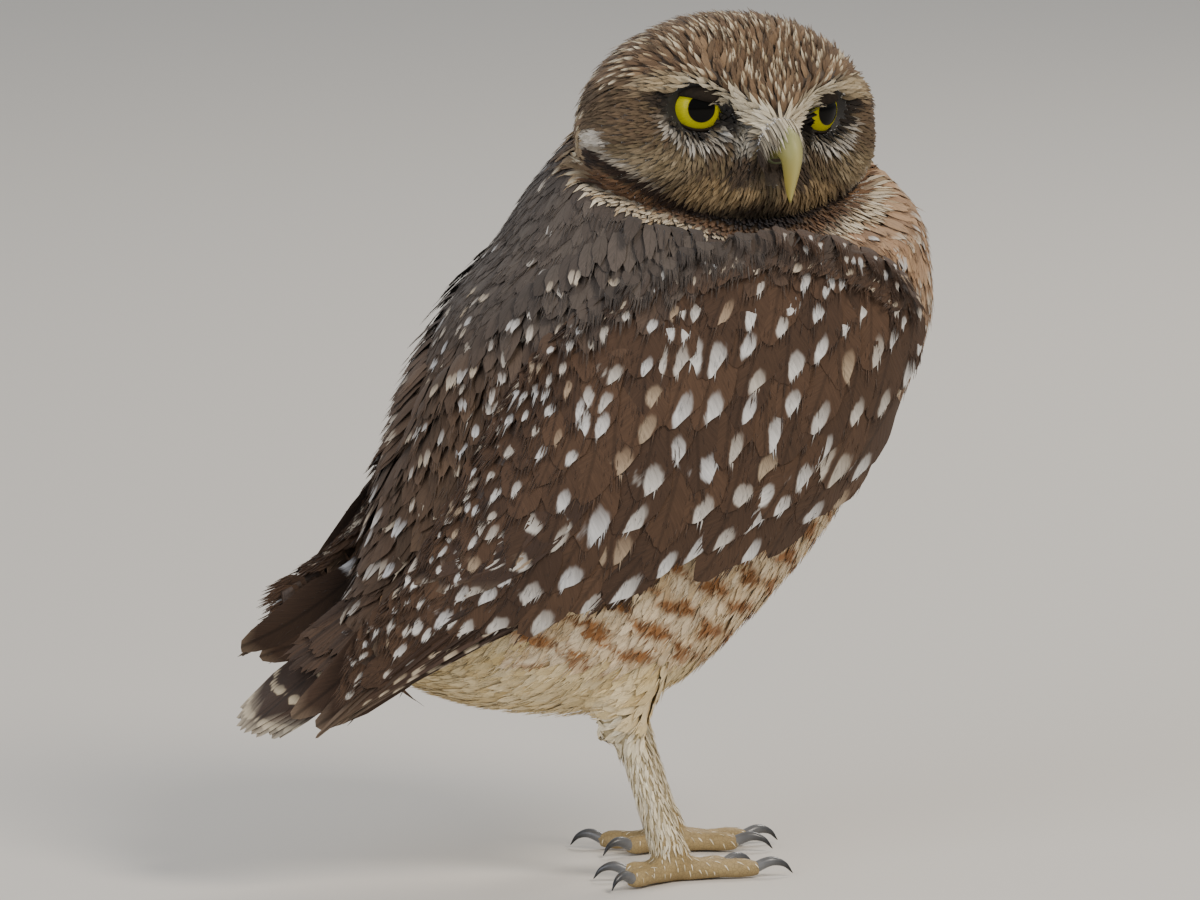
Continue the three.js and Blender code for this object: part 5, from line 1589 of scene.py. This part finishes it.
def tail_leaves(tract, bearings, start, lengths, half, heights, coat, rng, faces_up=1, steps=12, **form):
    turn = np.radians(bearings)[:, None]
    t = np.linspace(0, 1, steps + 1)[None]
    reach = start + (np.asarray(lengths)[:, None] - start) * t
    line = on_tail(reach * np.cos(turn), (20 + reach) * np.sin(turn), np.zeros(reach.shape))
    outs = np.broadcast_to(tail_up * faces_up, line.shape)
    across = unit(np.cross(outs, unit(np.gradient(line, axis=1))))
    bake = np.column_stack([0.5 + np.asarray(bearings) / 30, np.asarray(lengths) / 60])
    tract.grow(line, outs, across, half, heights, bake, coat, rng, **form)


# Stiff tail vanes: a faint gloss along each, cream where the ends are frayed.
tail_vane = barbed("tail_vane", 0.65, 50.0, 0.65, fringe=("#cdbfa6", 0.9))
rng = np.random.default_rng(81)
tail = Plumage("tail_fan")
bearings = np.linspace(-1, 1, 12) * TAIL_FAN
outer = np.abs(bearings) / TAIL_FAN
tail_leaves(
    tail, bearings, 2, 46 - 3.5 * outer**2 - rng.random(12), 5.4,
    np.column_stack([-2.6 + 0.5 * (1 - outer), -1.9 - 1.6 * outer]),
    shades(rng, 12, *FLIGHT_BROWNS, spread=0.05), rng,
    columns=9, mark=(0.55, 0.42, 0.5, 0.16), tint=(*linear("#bfae90"), 5.0),
    ragged=0.05, rounding=0.25, thick=0.4, camber=0.06,
)
tail.piece(tail_vane, "plumage", "tail")
rump = Plumage("tail_coverts")
for number, length, lift in ((9, 22, (1.2, 2.0)), (8, 28, (0.2, 1.4))):
    places = np.linspace(-1, 1, number)
    tail_leaves(
        rump, places * TAIL_FAN * 1.25, -6, length - 4 * places**2 + rng.random(number) * 3, 4.8, lift,
        shades(rng, number, *WING_BROWNS), rng, columns=7, barbs=14, ragged=0.1, rounding=0.34, thick=0.25,
    )
rump.piece(wing_vane, "plumage", "tail")
under_tail = Plumage("under_tail_coverts")
for number, length, lift in ((9, 18, (4.0, 5.2)), (8, 26, (3.2, 4.4)), (7, 33, (2.6, 3.6))):
    places = np.linspace(-1, 1, number)
    tail_leaves(
        under_tail, places * TAIL_FAN * 1.25, -6, length - 4 * places**2 + rng.random(number) * 3, 5.0, lift,
        shades(rng, number, *VENT_CREAMS, spread=0.05), rng,
        faces_up=-1, columns=7, ragged=0.2, rounding=0.34, thick=0.25,
    )
under_tail.piece(soft_vane, "pale_plumage", "tail")
sections = [(-12, 9, 6), (-6, 10, 6), (2, 10.5, 4.4), (9, 10, 2.6), (16, 8.5, 1.0)]
a = np.linspace(0, 2 * np.pi, 32, endpoint=False)
rings = np.stack([
    on_tail(np.full(32, far), wide * 0.92 * np.cos(a), deep * 0.85 * np.sin(a) - 2)
    for far, wide, deep in sections
])
points, faces = loft(rings)
root = new_piece("tail_root", points, faces)
root.data.materials.append(hide_material)
note_points(root.data, "coat", np.tile(opaque(TAIL_DOWN), (len(points), 1)))
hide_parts("tail")

# The legs: cream hair-like feathers 4 mm long down the shanks, rooted in the scaled skin and
# thinning to a few bristles on the ochre toes.
LEG_CREAMS = ("#ddd0ad", "#ebe0c6", "#c8b893")
TOES_TOP = 8.5
is_leg = (up_z <= LEG_TOP) & (up_z > TOES_TOP)
is_toe = (up_z <= TOES_TOP) & (up_z > 2.6) & (patch_out[:, 2] > -0.1)
is_thigh = is_leg & (up_z > 31)
rng = np.random.default_rng(91)
for name, side in SIDES.items():
    leg = Plumage(f"leg_coat_{name}")
    mine = side_y * side > 0
    for chosen, spacing, length, half, lift in (
        (is_thigh & mine, 1.1, 6.0, 0.6, 1.0), (is_leg & ~is_thigh & mine, 0.72, 3.8, 0.24, 0.5),
        (is_toe & mine, 1.5, 2.4, 0.13, 0.35),
    ):
        roots, patches = scatter(chosen, spacing, 92 + side)
        count = len(roots)
        line, outs, across = laid(roots, patches, length * rng.uniform(0.8, 1.2, count), 3, rng, stray=0.2)
        leg.grow(
            line, outs, across, half * rng.uniform(0.8, 1.2, count),
            np.column_stack([-0.2 * np.ones(count), lift * rng.uniform(0.7, 1.2, count)]),
            unwrapped(patches), shades(rng, count, *LEG_CREAMS), rng,
            columns=3, ragged=0.2, tip=0.3, thick=0.14,
        )
    leg.piece(fine_vane, "pale_plumage")

# The claws: curved points of solid horn on the last bone of each toe, grey at the root and black
# at the tip. The horn is worn smooth, so it is glossier than the bill, with faint growth rings.
CLAW_RADII = [1.3, 1.12, 0.62, 0.1]
claw_material, tree, shader = finish_named("claw_horn", 0.33, Coat_Weight=0.2, Coat_Roughness=0.25)
along = add(tree, "Attribute", attribute_name="along")
claw_place = add(tree, "SeparateXYZ", {"Vector": along.outputs["Vector"]})
rings_of_growth = add(tree, "TexNoise", {"Vector": along.outputs["Vector"], "Scale": 6.0, "Detail": 3.0})
claw_mix = add(
    tree, "Math", {0: rings_of_growth.outputs["Fac"], 1: 0.35, 2: claw_place.outputs[0]},
    operation="MULTIPLY_ADD",
)
claw_tone = add(tree, "ValToRGB", {"Fac": claw_mix.outputs[0]})
tones = claw_tone.color_ramp.elements
tones[0].position, tones[0].color = 0.1, opaque("#7b7c7d")
tones[1].position, tones[1].color = 0.95, opaque("#17171a")
tree.links.new(claw_tone.outputs["Color"], shader.inputs["Base Color"])
for name in SIDES:
    for toe_name, bearing, toe, claw in TOES:
        reach = [(toe - 1.2, 2.0), (toe + claw * 0.35, 3.5), (toe + claw * 0.75, 2.8), (toe + claw, 0.75)]
        steps, sides = 24, 16
        points, faces = tube(toe_points(name, bearing, reach), CLAW_RADII, sides=sides, steps=steps)
        piece = new_piece(f"claw_{toe_name}_{name}_horn", points, faces)
        share = np.append(np.repeat(np.linspace(0, 1, steps + 1), sides), [0, 1])
        note_points(piece.data, "along", np.column_stack([share, share * 0.3, np.zeros(len(share))]))
        piece.data.materials.append(claw_material)
        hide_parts(f"claw_{toe_name}_{name}")

# The skin takes the colour of what grows on it, as down, and ochre on the toes.
rng = np.random.default_rng(95)
down = shades(rng, len(patch_at), "#4a3d32", "#574838", spread=0.04)
ids = np.flatnonzero(is_face)
down[ids] = face_colours(patch_head[ids], rng) * 0.7
ids = np.flatnonzero(is_belly_patch)
colours, _, _, bars = trunk_colours(ids, rng)
down[ids] = barred(colours, patch_at[ids], bars, rng)
down[patch_on_head & (eye_away < 7.6) & (patch_head[:, 0] > 0)] = linear("#14100d")
down[up_z <= LEG_TOP] = linear("#b3a27c")
down[up_z <= TOES_TOP + 1] = linear("#a48d60")
vertex_down = np.zeros((len(skin_at), 3))
shared = np.bincount(quads.ravel(), minlength=len(skin_at))
for axis in range(3):
    total = np.bincount(quads.ravel(), np.repeat(down[:, axis], 4), len(skin_at))
    vertex_down[:, axis] = total / np.maximum(shared, 1)
note_points(skin_piece.data, "coat", np.column_stack([vertex_down, np.ones(len(skin_at))]))

# Studio: a pale matt floor of backing paper, a large soft light from the upper right, a weaker
# one from the left and one from behind, and a camera with a long lens at the bird's height.
LENS_REACH = 4.0
CAMERA_AZIMUTH, CAMERA_ELEVATION = -20, 8
AIM = (-7.34, 16.4, 91.76)
a, e = math.radians(CAMERA_AZIMUTH), math.radians(CAMERA_ELEVATION)
towards = np.array([math.sin(a) * math.cos(e), -math.cos(a) * math.cos(e), math.sin(e)])
camera = bpy.data.objects.new("camera", bpy.data.cameras.new("camera"))
bpy.context.scene.collection.objects.link(camera)
camera.data.sensor_width, camera.data.lens = 36, 540
camera.location = Vector(to_frame(AIM) + towards * LENS_REACH)
camera.rotation_mode = "QUATERNION"
camera.rotation_quaternion = Vector(-towards).to_track_quat("-Z", "Y")
camera.data.clip_start, camera.data.clip_end = 0.1, 50
bpy.context.scene.camera = camera

FLOOR_HALF = 9
floor_mesh = bpy.data.meshes.new("floor")
corners = [(x * FLOOR_HALF, y * FLOOR_HALF, 0) for x, y in ((-1, -1), (1, -1), (1, 1), (-1, 1))]
floor_mesh.from_pydata(corners, [], [(0, 1, 2, 3)])
floor = bpy.data.objects.new("floor", floor_mesh)
bpy.context.scene.collection.objects.link(floor)
floor_material, tree, shader = finish_named("matt_backing_paper", 0.9)
shader.inputs["Base Color"].default_value = opaque("#d8d4cd")
floor.data.materials.append(floor_material)


def soft_light(name, place, size, power, colour):
    lamp = bpy.data.objects.new(name, bpy.data.lights.new(name, "AREA"))
    bpy.context.scene.collection.objects.link(lamp)
    lamp.data.shape, lamp.data.size, lamp.data.energy = "DISK", size, power
    lamp.data.color = linear(colour)
    lamp.location = place
    lamp.rotation_mode = "QUATERNION"
    lamp.rotation_quaternion = (Vector((0, 0, 0.1)) - Vector(place)).to_track_quat("-Z", "Y")


soft_light("key", (0.45, -1.0, 1.15), 0.6, 15, "#fff4e6")
soft_light("fill", (-1.1, -0.7, 0.5), 0.9, 9, "#eef3ff")
soft_light("rim", (0.9, 0.8, 1.1), 0.6, 10, "#fff8ee")
world = bpy.data.worlds.new("studio")
bpy.context.scene.world = world
world.use_nodes = True
world.node_tree.nodes["Background"].inputs["Color"].default_value = opaque("#dfe3e8")
world.node_tree.nodes["Background"].inputs["Strength"].default_value = 0.55
